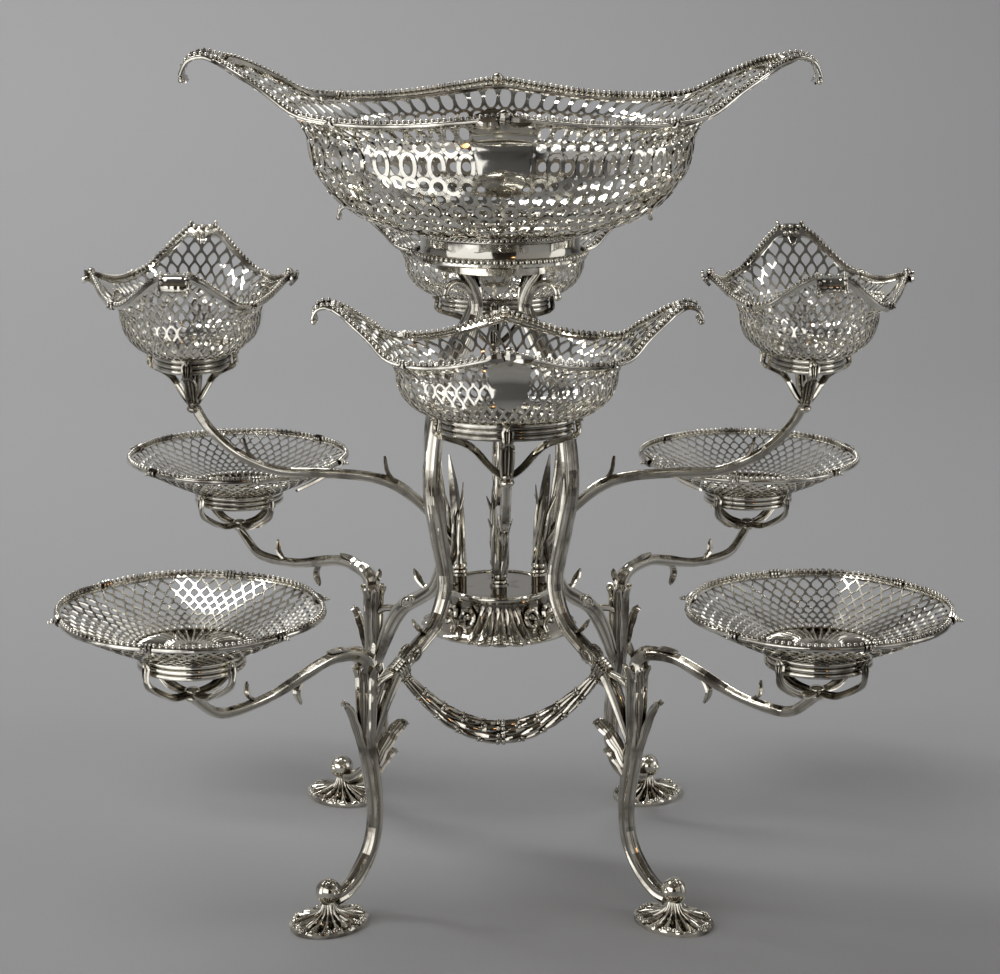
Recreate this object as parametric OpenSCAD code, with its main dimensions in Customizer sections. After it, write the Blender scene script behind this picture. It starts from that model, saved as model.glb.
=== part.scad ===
// Epergne: branch stand with eight lift-out arms and nine lift-off pierced dishes.
// Millimetres. Origin on the floor at the middle of the stand, Z up, front towards -Y.

/* [Stand] */
// Angle of the front right leg from the side, seen from above
leg_azimuth = 46.5; // [45:0.5:48]
// Middle of each foot from the centre line
foot_reach = 138; // [134:1:144]
// Thickness of a leg at the knee
leg_thick = 9; // [8:0.2:10]
// Length of a foot pad along the leg
foot_len = 46; // [42:1:50]
// Width of a foot pad
foot_wide = 37; // [34:1:40]
// Radius of the volute ball over each foot
volute_r = 8; // [7:0.5:9]
// Height of the pan's rim
pan_top = 166; // [163:1:169]
// Radius of the pan's rim
pan_r = 30; // [28.5:0.5:31]
// Height of the crown ring's top
crown_top = 354; // [349:1:359]
// Outer radius of the crown ring
crown_r = 38; // [36:1:40]
// Drop of the garland below its ties
swag_drop = 37; // [30:1:42]

/* [Arms] */
// Arm socket on a lower leg, from the centre line
low_socket = 108; // [107:0.5:109]
// Collar of a lower arm, from the centre line
low_reach = 233; // [229:1:238]
// Height of a lower arm's collar
low_collar = 164; // [160:1:166]
// Arm socket on the pan, from the centre line
up_socket = 22.5; // [21.5:0.5:23]
// Collar of an upper arm, from the centre line
up_reach = 172; // [169:1:175]
// Height of an upper arm's collar
up_collar = 270; // [267:1:273]
// Thickness of an arm in its middle
arm_thick = 5.6; // [4.8:0.2:6.4]
// Diameter of the plug pin under each arm
pin_d = 4.8; // [4.2:0.2:5.2]
// Length of the plug pin
pin_len = 7; // [6:0.5:7.5]
// Width of a cradle prong
prong_wide = 3; // [2.4:0.2:3.6]

/* [Dishes] */
// Radius of a round dish to the middle of its rim
dish_r = 68; // [65:1:71]
// Height of a round dish over its foot ring
dish_deep = 21; // [19:1:23]
// Radius of a round dish's foot ring
dish_foot_r = 28; // [26:0.5:29]
// Openings in one round of a dish's wall
dish_open = 30; // [24:2:36]
// Half length of a boat basket to its handle crest
boat_end = 86; // [82:1:90]
// Half width of a boat basket at its side humps
boat_hump = 55; // [52:1:58]
// Half length of a boat's foot ring
boat_foot_a = 34; // [32:1:36]
// Half width of a boat's foot ring
boat_foot_b = 22; // [21:0.5:23.5]
// Height of a boat's rim knots over its foot ring
boat_deep = 33; // [30:1:36]
// Half length of the large basket to its handle crest
bowl_end = 156; // [150:1:162]
// Half width of the large basket at its side humps
bowl_hump = 97; // [92:1:102]
// Height of the large basket's rim knots over its foot
bowl_deep = 65; // [60:1:70]
// Half length of the large basket's foot flange
bowl_foot_a = 48.5; // [47:0.5:50]
// Half width of the large basket's foot flange
bowl_foot_b = 40; // [39.5:0.5:42]
// Sheet thickness of the pierced walls
sheet = 1.4; // [1.2:0.1:1.8]

/* [Fits] */
// Gap between pieces that come apart
fit_gap = 0.3; // [0.3:0.05:0.5]

/* [Hidden] */
$fn = 48;
silver = [0.78, 0.77, 0.74];
bright = [0.86, 0.85, 0.83];
leg_angles = [180 + leg_azimuth, -leg_azimuth, 180 - leg_azimuth, leg_azimuth];
arm_angles = [270, 90, 180, 0];
FL = 0;
FR = 1;
RL = 2;
RR = 3;
FRONT = 0;
REAR = 1;
LEFT = 2;
RIGHT = 3;
pin_r = pin_d / 2;
bore_r = pin_r + fit_gap;
socket_r = bore_r + 2.3;
socket_h = pin_len + 3;
crown_h = 3.7;
crown_low = crown_top - crown_h;
low_seat = 128;
low_top = low_seat + socket_h;
pan_floor = pan_top - 3;
up_top = pan_floor + socket_h;
ring_h = 8.7;
cradle_rise = 7.6;
dish_seat = low_collar + cradle_rise;
boat_rise = 24.2;
boat_seat = up_collar + boat_rise;
bowl_foot_h = 17;
rim_w = 2.3;
foot_top = 12.5;
volute_z = foot_top + volute_r - 1;

// Curves through control points: each point is [reach, height, radius]
function mix(a, b, t) = a + (b - a) * t;
function curve(a, b, c, d, t) = 0.5 * (2 * b + (c - a) * t
  + (2 * a - 5 * b + 4 * c - d) * t * t + (3 * b - a - 3 * c + d) * t * t * t);
function through(p, m) = let (e = len(p) - 1)
  [for (i = [0 : e - 1]) for (k = [0 : m - 1])
    curve(p[max(i - 1, 0)], p[i], p[i + 1], p[min(i + 2, e)], k / m), p[e]];
function along(p, i) = let (d = p[min(i + 1, len(p) - 1)] - p[max(i - 1, 0)])
  [d[0], d[1]] / norm([d[0], d[1]]);
function oval(a, b, n) = [for (i = [0 : n - 1]) [a * cos(360 * i / n), b * sin(360 * i / n)]];

// Round bar along a path in the XZ plane
module bar(p, sides) {
  n = len(p);
  pts = [for (i = [0 : n - 1]) let (t = along(p, i)) for (j = [0 : sides - 1])
    let (a = 360 * (j + 0.5) / sides, c = p[i][2] * cos(a))
      [p[i][0] - t[1] * c, p[i][2] * sin(a), p[i][1] + t[0] * c]];
  walls = [for (i = [0 : n - 2]) for (j = [0 : sides - 1]) let (k = (j + 1) % sides)
    [i * sides + j, i * sides + k, (i + 1) * sides + k, (i + 1) * sides + j]];
  ends = [[for (j = [0 : sides - 1]) sides - 1 - j], [for (j = [0 : sides - 1]) (n - 1) * sides + j]];
  polyhedron(points = pts, faces = concat(walls, ends), convexity = 6);
}

// Flat strap of even width along a path in the XZ plane
module strap(p, thick, wide) {
  n = len(p);
  up = [for (i = [0 : n - 1]) let (t = along(p, i)) [p[i][0] - t[1] * thick / 2, p[i][1] + t[0] * thick / 2]];
  dn = [for (i = [0 : n - 1]) let (k = n - 1 - i, t = along(p, k))
    [p[k][0] + t[1] * thick / 2, p[k][1] - t[0] * thick / 2]];
  rotate([90, 0, 0])
    linear_extrude(wide, center = true)
      polygon(concat(up, dn));
}

// Pointed leaf along a path in the XZ plane, widest near its middle
module leaf(p, wide, thick) {
  n = len(p);
  w = [for (i = [0 : n - 2]) wide / 2 * sin(40 + 140 * i / (n - 1))];
  up = [for (i = [0 : n - 2]) let (t = along(p, i)) [p[i][0] - t[1] * w[i], p[i][1] + t[0] * w[i]]];
  dn = [for (i = [0 : n - 2]) let (k = n - 2 - i, t = along(p, k))
    [p[k][0] + t[1] * w[k], p[k][1] - t[0] * w[k]]];
  rotate([90, 0, 0])
    linear_extrude(thick, center = true)
      polygon(concat(up, [[p[n - 1][0], p[n - 1][1]]], dn));
}

// Leg: upright and lower leg that fork at the knee, with volute and leaves
module leg(k) {
  h = leg_thick / 2;
  upright = through([
    [crown_r - 6, crown_low + 0.8, 0.62 * h], [24, crown_low - 9, 0.7 * h],
    [19.5, crown_low - 21, 0.74 * h], [25, crown_low - 34, 0.8 * h],
    [36, crown_low - 50, 0.84 * h], [47, crown_low - 69, 0.9 * h],
    [54, pan_top + 87, 0.95 * h], [55, pan_top + 63, 0.97 * h],
    [50, pan_top + 38, 0.95 * h], [44.5, pan_top + 10, 0.9 * h],
    [52, pan_top - 11, 0.88 * h], [66, pan_top - 22, 0.86 * h],
    [82, pan_top - 32, 0.86 * h], [93, 119, 0.84 * h],
    [low_socket - 4, 96, 0.7 * h]], 2);
  lower = through([
    [low_socket, low_seat, h], [low_socket, low_seat - 14, 0.9 * h],
    [low_socket - 1, 97, h], [low_socket - 5, 76, 0.98 * h],
    [low_socket - 7, 52, 0.92 * h], [low_socket - 3, 36, 0.92 * h],
    [low_socket + 6, 23, 0.95 * h], [foot_reach - 12, 16, h],
    [foot_reach - 1, 16, 1.05 * h]], 2);
  out_leaf = through([[low_socket + 2, 88], [low_socket + 8, 102], [low_socket + 15, 119], [low_socket + 17, 131]], 4);
  in_leaf = through([[low_socket - 3, 84], [low_socket - 12, 94], [low_socket - 22, 101], [low_socket - 31, 106]], 4);
  small_leaf = through([[low_socket - 5, 82], [low_socket - 13, 87], [low_socket - 22, 94]], 4);
  tie = [[82, pan_top - 33], [95, 131], [low_socket - 2, 126]];
  bracket = through([[52, pan_top - 10], [46, pan_top - 7], [40, pan_top - 11], [pan_r + 5.5, pan_top - 17]], 3);
  color(silver)
    rotate([0, 0, leg_angles[k]])
      union() {
        bar(upright, 7);
        bar(lower, 7);
        translate([foot_reach, 0, volute_z])
          sphere(volute_r);
        leaf(out_leaf, 7, 3);
        leaf(in_leaf, 8, 3);
        leaf(small_leaf, 5, 4);
        strap(tie, 3.2, 3.2);
        strap(bracket, 2.4, 4);
      }
}
module leg_fl() { leg(FL); }
module leg_fr() { leg(FR); }
module leg_rl() { leg(RL); }
module leg_rr() { leg(RR); }

// Foot: oval scalloped pad with a fluted bell that carries the volute
module foot(k) {
  n = 20;
  rows = [[0.92, 1.2], [0.62, 3.4], [0.36, 6.5], [0.22, foot_top]];
  pts = [for (i = [0 : 3]) for (j = [0 : n - 1])
    let (f = rows[i][0] * (1 + (j % 2 == 0 ? 0.07 : -0.07)), a = 360 * j / n)
      [f * foot_len / 2 * cos(a), f * foot_wide / 2 * sin(a), rows[i][1]]];
  walls = [for (i = [0 : 2]) for (j = [0 : n - 1]) let (m = (j + 1) % n)
    [i * n + j, (i + 1) * n + j, (i + 1) * n + m, i * n + m]];
  ends = [[for (j = [0 : n - 1]) j], [for (j = [0 : n - 1]) 4 * n - 1 - j]];
  edge = [for (j = [0 : 71]) let (f = 1 + 0.025 * cos(10 * 5 * j), a = 5 * j)
    [f * foot_len / 2 * cos(a), f * foot_wide / 2 * sin(a)]];
  color(bright)
    rotate([0, 0, leg_angles[k]])
      translate([foot_reach, 0, 0])
        union() {
          linear_extrude(2.2)
            polygon(edge);
          polyhedron(points = pts, faces = concat(walls, ends), convexity = 6);
        }
}
module foot_fl() { foot(FL); }
module foot_fr() { foot(FR); }
module foot_rl() { foot(RL); }
module foot_rr() { foot(RR); }

// Pan: round drum with a moulded rim and a flared hollow skirt
module pan() {
  t = pan_top;
  r = pan_r;
  color(silver)
    rotate_extrude()
      polygon([[0, pan_floor], [r - 2, pan_floor], [r - 2, t], [r, t], [r + 1, t - 1.5], [r, t - 3.2],
        [r - 0.5, t - 9], [r + 2.5, t - 15], [r + 7.5, t - 20], [r + 13, t - 22.5], [r + 13, t - 24.5],
        [r + 10, t - 24.5], [r + 5, t - 21.5], [r - 0.5, t - 16.5], [r - 3, t - 9],
        [r - 3, t - 5.5], [0, t - 5.5]]);
}

// Turned socket with a plain bore for an arm's plug pin
module socket(z0) {
  r = socket_r;
  h = socket_h;
  translate([0, 0, z0])
    rotate_extrude()
      polygon([[0, 0], [r, 0], [r, 1.2], [r - 1, 2.4], [r - 1, h - 2.4], [r, h - 1.4], [r, h],
        [bore_r, h], [bore_r, 2], [0, 2]]);
}
module pan_sockets() {
  color(bright)
    for (a = arm_angles)
      rotate([0, 0, a])
        translate([up_socket, 0, 0])
          socket(pan_floor);
}
module leg_sockets() {
  color(bright)
    for (a = leg_angles)
      rotate([0, 0, a])
        translate([low_socket, 0, 0])
          socket(low_seat);
}

// Crown ring with a raised lip inside the large basket's foot
module crown_ring() {
  color(bright)
    rotate_extrude()
      polygon([[crown_r - 14, crown_low], [crown_r, crown_low], [crown_r, crown_top],
        [crown_r - 10, crown_top], [crown_r - 10, crown_top + 5], [crown_r - 12, crown_top + 5],
        [crown_r - 14, crown_top + 2]]);
}

// Garland between the two front legs
module swag() {
  x0 = 82 * cos(leg_azimuth);
  y0 = 82 * sin(leg_azimuth);
  m = 14;
  p = [for (i = [0 : m]) let (f = 2 * i / m - 1)
    [x0 * f, pan_top - 32 - swag_drop * (1 - f * f), 2.6 + 3.2 * (1 - f * f)]];
  color(bright)
    translate([0, -y0, 0])
      bar(p, 6);
}

// Lower arm: plug pin, base knop and leafed S-branch
module lower_arm(k) {
  h = arm_thick / 2;
  s = low_socket;
  e = low_reach;
  z = low_collar;
  branch = through([
    [s, low_top + 2, 1.2 * h], [s + 2, low_top + 8, 1.2 * h], [s + 10, z - 13, 1.15 * h],
    [s + 28, z - 12, 1.1 * h], [s + 46, z - 16, 1.05 * h], [mix(s, e, 0.56), z - 22, h],
    [mix(s, e, 0.76), z - 24, h], [e - 16, z - 22, h], [e - 5, z - 14, h],
    [e - 0.5, z - 6, h], [e, z - 1, h]], 2);
  leaf_a = through([[s + 4, low_top + 5], [s - 3, low_top + 9], [s - 6, low_top + 15]], 4);
  leaf_b = through([[s + 46, z - 16], [s + 51, z - 24], [s + 48, z - 31]], 4);
  leaf_c = through([[e - 42, z - 23], [e - 36, z - 18], [e - 37, z - 11]], 4);
  color(silver)
    rotate([0, 0, leg_angles[k]])
      union() {
        translate([s, 0, low_top + fit_gap - pin_len])
          cylinder(h = pin_len + 2, r = pin_r);
        translate([s, 0, low_top + fit_gap])
          cylinder(h = 2.5, r = socket_r - 0.8);
        bar(branch, 6);
        leaf(leaf_a, 4.5, 2.4);
        leaf(leaf_b, 4.5, 2.4);
        leaf(leaf_c, 4, 2.4);
      }
}
module lower_arm_fl() { lower_arm(FL); }
module lower_arm_fr() { lower_arm(FR); }
module lower_arm_rl() { lower_arm(RL); }
module lower_arm_rr() { lower_arm(RR); }

// Upper arm: plug pin, base knop, leaf-tipped stem and side branch
module upper_arm(k) {
  h = arm_thick / 2;
  s = up_socket;
  e = up_reach;
  z = up_collar;
  stem = through([[s, up_top + 1, 1.25 * h], [s + 0.5, up_top + 12, 1.2 * h],
    [s + 2, up_top + 32, 1.1 * h], [s + 4, up_top + 52, 0.85 * h], [s + 6, up_top + 69, 0.25 * h]], 2);
  branch = through([
    [s + 0.5, up_top + 10, 0.9 * h], [s + 4, up_top + 17, h], [s + 11, up_top + 27, h],
    [s + 21, z - 58, h], [s + 36, z - 46, h], [s + 52, z - 41, h],
    [mix(s, e, 0.5), z - 39, 0.96 * h], [mix(s, e, 0.67), z - 38, 0.93 * h], [e - 32, z - 32, 0.93 * h],
    [e - 18, z - 23, 0.95 * h], [e - 7, z - 11, h], [e - 1, z - 1, h]], 2);
  leaf_a = through([[s + 34, z - 48], [s + 41, z - 40], [s + 43, z - 30]], 4);
  leaf_b = through([[mix(s, e, 0.49), z - 39], [mix(s, e, 0.55), z - 45], [mix(s, e, 0.62), z - 50]], 4);
  leaf_c = through([[e - 38, z - 35], [e - 30, z - 28], [e - 27, z - 19]], 4);
  leaf_d = through([[s + 1, up_top + 34], [s - 3, up_top + 45], [s - 4, up_top + 58]], 4);
  color(silver)
    rotate([0, 0, arm_angles[k]])
      union() {
        translate([s, 0, up_top + fit_gap - pin_len])
          cylinder(h = pin_len + 2, r = pin_r);
        translate([s, 0, up_top + fit_gap])
          cylinder(h = 2.5, r = socket_r - 0.8);
        bar(stem, 6);
        bar(branch, 6);
        leaf(leaf_a, 4.5, 2.4);
        leaf(leaf_b, 4.5, 2.4);
        leaf(leaf_c, 4, 2.4);
        leaf(leaf_d, 4.5, 2.4);
      }
}
module upper_arm_front() { upper_arm(FRONT); }
module upper_arm_rear() { upper_arm(REAR); }
module upper_arm_left() { upper_arm(LEFT); }
module upper_arm_right() { upper_arm(RIGHT); }

// Cradle prong: rises from the collar, passes under a foot ring and stands up outside it
module prong(ring, rise) {
  z = rise - fit_gap - 1.1;
  g = ring + fit_gap + 1.2;
  p = through([[1, 0], [0.3 * ring, 0.45 * z], [0.62 * ring, 0.86 * z], [ring - 3, z - 0.2],
    [ring + 0.5, z - 0.1], [g + 0.7, z + 1.4], [g + 0.7, z + 4], [g + 0.3, z + 7]], 3);
  strap(p, 2, prong_wide);
}
module cradle(a, b, rise) {
  rotate_extrude()
    polygon([[0, -3.5], [2.6, -3.5], [4.2, -2], [4.2, -0.6], [3.2, 0.6], [4.6, 1.8], [4, 3.2], [0, 3.6]]);
  for (q = [0, 180])
    rotate([0, 0, q])
      prong(a, rise);
  for (q = [90, 270])
    rotate([0, 0, q])
      prong(b, rise);
}
module lower_cradle(k) {
  color(bright)
    rotate([0, 0, leg_angles[k]])
      translate([low_reach, 0, low_collar])
        cradle(dish_foot_r, dish_foot_r, cradle_rise);
}
module lower_cradle_fl() { lower_cradle(FL); }
module lower_cradle_fr() { lower_cradle(FR); }
module lower_cradle_rl() { lower_cradle(RL); }
module lower_cradle_rr() { lower_cradle(RR); }
module upper_cradle(k) {
  color(bright)
    rotate([0, 0, arm_angles[k]])
      translate([up_reach, 0, up_collar])
        cradle(boat_foot_b, boat_foot_a, boat_rise);
}
module upper_cradle_front() { upper_cradle(FRONT); }
module upper_cradle_rear() { upper_cradle(REAR); }
module upper_cradle_left() { upper_cradle(LEFT); }
module upper_cradle_right() { upper_cradle(RIGHT); }

// Round dish: fluted floor and a conical wall pierced with a staggered lattice
module at_dish(k) {
  rotate([0, 0, leg_angles[k]])
    translate([low_reach, 0, dish_seat + ring_h])
      children();
}
module dish(k) {
  f = dish_foot_r + 2;
  w = dish_r - 1;
  t = sheet;
  step = (w - f - 6) / 4;
  half = 180 / dish_open;
  color(silver)
    at_dish(k)
      difference() {
        rotate_extrude()
          polygon([[0, 0], [f, 0], [w, dish_deep - 2], [w, dish_deep - 2 + t * 1.1], [f - 0.5, t], [0, t]]);
        for (j = [0 : 2])
          for (i = [0 : dish_open - 1])
            rotate([0, 0, (2 * i + j) * half])
              linear_extrude(dish_deep + 4)
                polygon([[f + 3 + step * (j + 0.32), 0],
                  [f + 3 + step * (j + 1), (f + 3 + step * (j + 1)) * tan(0.64 * half)],
                  [f + 3 + step * (j + 1.68), 0],
                  [f + 3 + step * (j + 1), -(f + 3 + step * (j + 1)) * tan(0.64 * half)]]);
        for (i = [0 : 23])
          rotate([0, 0, 15 * i])
            translate([0.45 * f, 0, t + 1.6])
              rotate([0, 90, 0])
                cylinder(h = 0.48 * f, r = 2.1);
      }
}
module dish_fl() { dish(FL); }
module dish_fr() { dish(FR); }
module dish_rl() { dish(RL); }
module dish_rr() { dish(RR); }

// Rim of a round dish: moulded ring with six shell cusps
module dish_rim(k) {
  z = dish_deep - 2;
  color(bright)
    at_dish(k)
      union() {
        rotate_extrude()
          translate([dish_r + 1, z + 1])
            rotate([0, 0, 22.5])
              circle(rim_w, $fn = 8);
        for (i = [0 : 5])
          rotate([0, 0, 60 * i + 30])
            translate([dish_r + 2, 0, z - 1.2])
              cylinder(h = 5.2, r1 = 2.6, r2 = 1.8);
      }
}
module dish_rim_fl() { dish_rim(FL); }
module dish_rim_fr() { dish_rim(FR); }
module dish_rim_rl() { dish_rim(RL); }
module dish_rim_rr() { dish_rim(RR); }

// Foot ring of a round dish, with three reeds
module dish_foot(k) {
  r = dish_foot_r;
  h = ring_h;
  color(bright)
    at_dish(k)
      rotate_extrude()
        polygon([[r - 3.4, 0], [r - 3.4, -h], [r, -h], [r, -0.74 * h], [r - 0.7, -0.7 * h], [r, -0.62 * h],
          [r, -0.4 * h], [r - 0.7, -0.34 * h], [r, -0.26 * h], [r, 0]]);
}
module dish_foot_fl() { dish_foot(FL); }
module dish_foot_fr() { dish_foot(FR); }
module dish_foot_rl() { dish_foot(RL); }
module dish_foot_rr() { dish_foot(RR); }

// Oval baskets. Shape list: foot half axes, belly half axes, handle crest and its half width,
// knot along and across, hump, spare, heights of knots, humps and crest over the foot, belly share
boat_shape = [boat_foot_a - 3, boat_foot_b - 2.5, 0.64 * boat_end, 0.71 * boat_hump, boat_end, 8,
  0.59 * boat_end, 0.69 * boat_hump, boat_hump, 0, boat_deep, boat_deep + 8, boat_deep + 22, 0.64];
bowl_shape = [bowl_foot_a - 4, bowl_foot_b - 5, 0.675 * bowl_end, 0.76 * bowl_hump, bowl_end, 13,
  0.58 * bowl_end, 0.7 * bowl_hump, bowl_hump, 0, bowl_deep, bowl_deep + 7, bowl_deep + 27.5, 0.76];

function fold(u) = let (w = u - 4 * floor(u / 4)) w <= 1 ? w : w <= 2 ? 2 - w : w <= 3 ? w - 2 : 4 - w;
function side_x(u) = let (w = u - 4 * floor(u / 4)) (w <= 1 || w >= 3) ? 1 : -1;
function side_y(u) = let (w = u - 4 * floor(u / 4)) w <= 2 ? 1 : -1;
function rim_x(b, q) = lookup(q, [[0, b[4]], [0.125, b[4] - 2], [0.25, mix(b[6], b[4], 0.47)], [0.375, b[6]], [1, 0]]);
function rim_y(b, q) = lookup(q, [[0, 0], [0.125, b[5]], [0.25, mix(b[5], b[7], 0.46)], [0.375, b[7]],
  [0.6, mix(b[7], b[8], 0.4)], [0.85, mix(b[7], b[8], 0.86)], [1, b[8]]]);
function rim_z(b, q) = lookup(q, [[0, b[12]], [0.125, b[12] - 1], [0.25, mix(b[10], b[12], 0.4)], [0.375, b[10]],
  [0.6, mix(b[10], b[11], 0.22)], [0.85, mix(b[10], b[11], 0.8)], [1, b[11]]]);
function oval_r(a, b, c, s) = 1 / sqrt(c * c / (a * a) + s * s / (b * b));

// Wall section: a bowl that rises to the belly line, then a flare out to the rim, as [reach, height]
belly_v = 0.6;
function section(b, q, rf, rm, r, v) = let (zm = b[13] * b[10], zr = rim_z(b, q), s = (v - belly_v) / (1 - belly_v))
  v <= belly_v ? [mix(rf, rm, sin(90 * v / belly_v)), zm * (1 - cos(90 * v / belly_v))]
  : [rm + (r - rm) * pow(s, 1.5), mix(zm, zr, s)];

// Point on a basket wall: u runs 0 to 4 round the plan, v from foot to rim, d is depth into the sheet
function wall_pt(b, u, v, d) = let (
    q = fold(u), x = rim_x(b, q), y = rim_y(b, q), r = norm([x, y]), c = x / r, s = y / r,
    rf = oval_r(b[0], b[1], c, s), rm = oval_r(b[2], b[3], c, s),
    p = section(b, q, rf, rm, r, v),
    w = section(b, q, rf, rm, r, min(v + 0.02, 1)) - section(b, q, rf, rm, r, max(v - 0.02, 0)),
    l = norm(w), rr = p[0] - d * w[1] / l, z = p[1] + d * w[0] / l)
  [side_x(u) * c * rr, side_y(u) * s * rr, z];
// Point on the flat ring under the wall that lies on the foot
function base_pt(b, u, d) = let (
    q = fold(u), x = rim_x(b, q), y = rim_y(b, q), r = norm([x, y]), c = x / r, s = y / r,
    rr = oval_r(b[0], b[1], c, s) - 3)
  [side_x(u) * c * rr, side_y(u) * s * rr, d];

// Pierced wall: n openings in a round, staggered in rows, with a bare plate on each long side
module pierced(b, n, rows, open) {
  v0 = 0.1;
  v1 = 0.86;
  du = 2 / n;
  top = rows + 1;
  function vv(h) = h <= 0 ? v0 : mix(v0, v1, h / top);
  function pt(k, h, d) = wall_pt(b, k * du, vv(h), d * sheet);
  function plain(k) = min(abs(k - n / 2), abs(k - 3 * n / 2)) <= 1;
  corner = [[0, 0], [1, 1], [0, 2], [-1, 1]];
  hole = [[0, 1 - open], [open, 1], [0, 1 + open], [-open, 1]];
  rings = [for (j = [0 : rows - 1]) for (i = [0 : n - 1]) let (k = 2 * i + j % 2) if (!plain(k)) for (m = [0 : 3])
    let (a = corner[m], c = corner[(m + 1) % 4], e = hole[(m + 1) % 4], f = hole[m],
      P = function (w, d) pt(k + w[0], j + w[1], d))
      each [[P(f, 0), P(e, 0), P(c, 0), P(a, 0)], [P(a, 1), P(c, 1), P(e, 1), P(f, 1)],
        [P(f, 1), P(e, 1), P(e, 0), P(f, 0)]]];
  plates = [for (j = [0 : rows - 1]) for (i = [0 : n - 1]) let (k = 2 * i + j % 2) if (plain(k))
    let (P = function (w, d) pt(k + w[0], j + w[1], d))
      each [[for (m = [3 : -1 : 0]) P(corner[m], 0)], [for (m = [0 : 3]) P(corner[m], 1)]]];
  low = [for (i = [0 : n - 1]) let (k = 2 * i, u = k * du, w = (k + 2) * du)
    each [[pt(k + 1, 1, 0), pt(k + 2, 0, 0), pt(k, 0, 0)], [pt(k, 0, 1), pt(k + 2, 0, 1), pt(k + 1, 1, 1)],
      [pt(k, 0, 0), pt(k + 2, 0, 0), wall_pt(b, w, 0, 0), wall_pt(b, u, 0, 0)],
      [wall_pt(b, u, 0, 0), wall_pt(b, w, 0, 0), base_pt(b, w, 0), base_pt(b, u, 0)],
      [base_pt(b, u, sheet), base_pt(b, w, sheet), pt(k + 2, 0, 1), pt(k, 0, 1)],
      [base_pt(b, u, 0), base_pt(b, w, 0), base_pt(b, w, sheet), base_pt(b, u, sheet)]]];
  high = [for (i = [0 : n - 1]) let (k = 2 * i + top % 2)
    each [[pt(k + 2, top, 0), pt(k + 1, top - 1, 0), pt(k, top, 0)],
      [pt(k, top, 1), pt(k + 1, top - 1, 1), pt(k + 2, top, 1)],
      [rim(k, 0), rim(k + 1, 0), pt(k, top, 0)], [pt(k, top, 1), rim(k + 1, 1), rim(k, 1)],
      [rim(k + 1, 0), pt(k + 2, top, 0), pt(k, top, 0)], [pt(k, top, 1), pt(k + 2, top, 1), rim(k + 1, 1)],
      [rim(k + 1, 0), rim(k + 2, 0), pt(k + 2, top, 0)], [pt(k + 2, top, 1), rim(k + 2, 1), rim(k + 1, 1)],
      [rim(k, 1), rim(k + 1, 1), rim(k + 1, 0), rim(k, 0)],
      [rim(k + 1, 1), rim(k + 2, 1), rim(k + 2, 0), rim(k + 1, 0)]]];
  function rim(k, d) = wall_pt(b, k * du, 1, d * sheet);
  shell(concat(rings, plates, low, high));
}
// Closed solid from a list of faces given by their corner points
module shell(f) {
  starts = [for (i = 0, s = 0; i < len(f); s = s + len(f[i]), i = i + 1) s];
  polyhedron(points = [for (p = f) each p],
    faces = [for (i = [0 : len(f) - 1]) [for (m = [0 : len(f[i]) - 1]) starts[i] + m]], convexity = 10);
}

// Rim moulding of an oval basket, with a curled handle at each end
module oval_rim(b, n, w) {
  pts = [for (i = [0 : n - 1]) let (p = wall_pt(b, 4 * i / n, 1, sheet / 2), r = norm([p[0], p[1]]),
      o = [p[0] / r, p[1] / r, 0])
    each [p + w * o, p + [0, 0, w], p - w * o, p - [0, 0, w]]];
  faces = [for (i = [0 : n - 1]) for (m = [0 : 3]) let (k = (i + 1) % n, e = (m + 1) % 4)
    [4 * i + m, 4 * i + e, 4 * k + e, 4 * k + m]];
  x = b[4];
  z = b[12];
  out = 0.115 * x;
  drop = 0.075 * x;
  curl = through([[x - 4, z - 0.6], [x + 0.28 * out, z + 0.8 * w], [x + 0.75 * out, z],
    [x + out, z - 0.8 * drop]], 3);
  union() {
    polyhedron(points = pts, faces = faces, convexity = 6);
    for (q = [0, 180])
      rotate([0, 0, q]) {
        strap(curl, 0.9 * w, 1.9 * b[5]);
        translate([x + out, 0, z - drop])
          rotate([90, 0, 0])
            cylinder(h = 1.9 * b[5], r = 1.1 * w, center = true);
      }
  }
}

// Oval foot: stacked mouldings round a hollow, closed by a floor plate
module reeds(a, b, rows, hollow, plate) {
  difference() {
    for (i = [0 : len(rows) - 1])
      translate([0, 0, rows[i][1]])
        linear_extrude(rows[i][2] - rows[i][1])
          polygon(oval(a - rows[i][0], b - rows[i][0], 40));
    translate([0, 0, rows[0][1] - 1])
      linear_extrude(-rows[0][1] + 1 - plate)
        polygon(oval(a - hollow, b - hollow, 40));
  }
}

// Boat baskets
module at_boat(k) {
  rotate([0, 0, arm_angles[k]])
    translate([up_reach, 0, boat_seat + ring_h])
      rotate([0, 0, 90])
        children();
}
module boat(k) {
  color(silver)
    at_boat(k)
      pierced(boat_shape, 16, 3, 0.66);
}
module boat_front() { boat(FRONT); }
module boat_rear() { boat(REAR); }
module boat_left() { boat(LEFT); }
module boat_right() { boat(RIGHT); }
module boat_rim(k) {
  color(bright)
    at_boat(k)
      oval_rim(boat_shape, 32, 2);
}
module boat_rim_front() { boat_rim(FRONT); }
module boat_rim_rear() { boat_rim(REAR); }
module boat_rim_left() { boat_rim(LEFT); }
module boat_rim_right() { boat_rim(RIGHT); }
module boat_foot(k) {
  h = ring_h;
  color(bright)
    at_boat(k)
      reeds(boat_foot_a, boat_foot_b,
        [[0, -h, -0.72 * h], [0.8, -0.72 * h, -0.62 * h], [0, -0.62 * h, -0.38 * h],
          [0.8, -0.38 * h, -0.28 * h], [0, -0.28 * h, 0]], 3.4, 1.2);
}
module boat_foot_front() { boat_foot(FRONT); }
module boat_foot_rear() { boat_foot(REAR); }
module boat_foot_left() { boat_foot(LEFT); }
module boat_foot_right() { boat_foot(RIGHT); }

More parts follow.
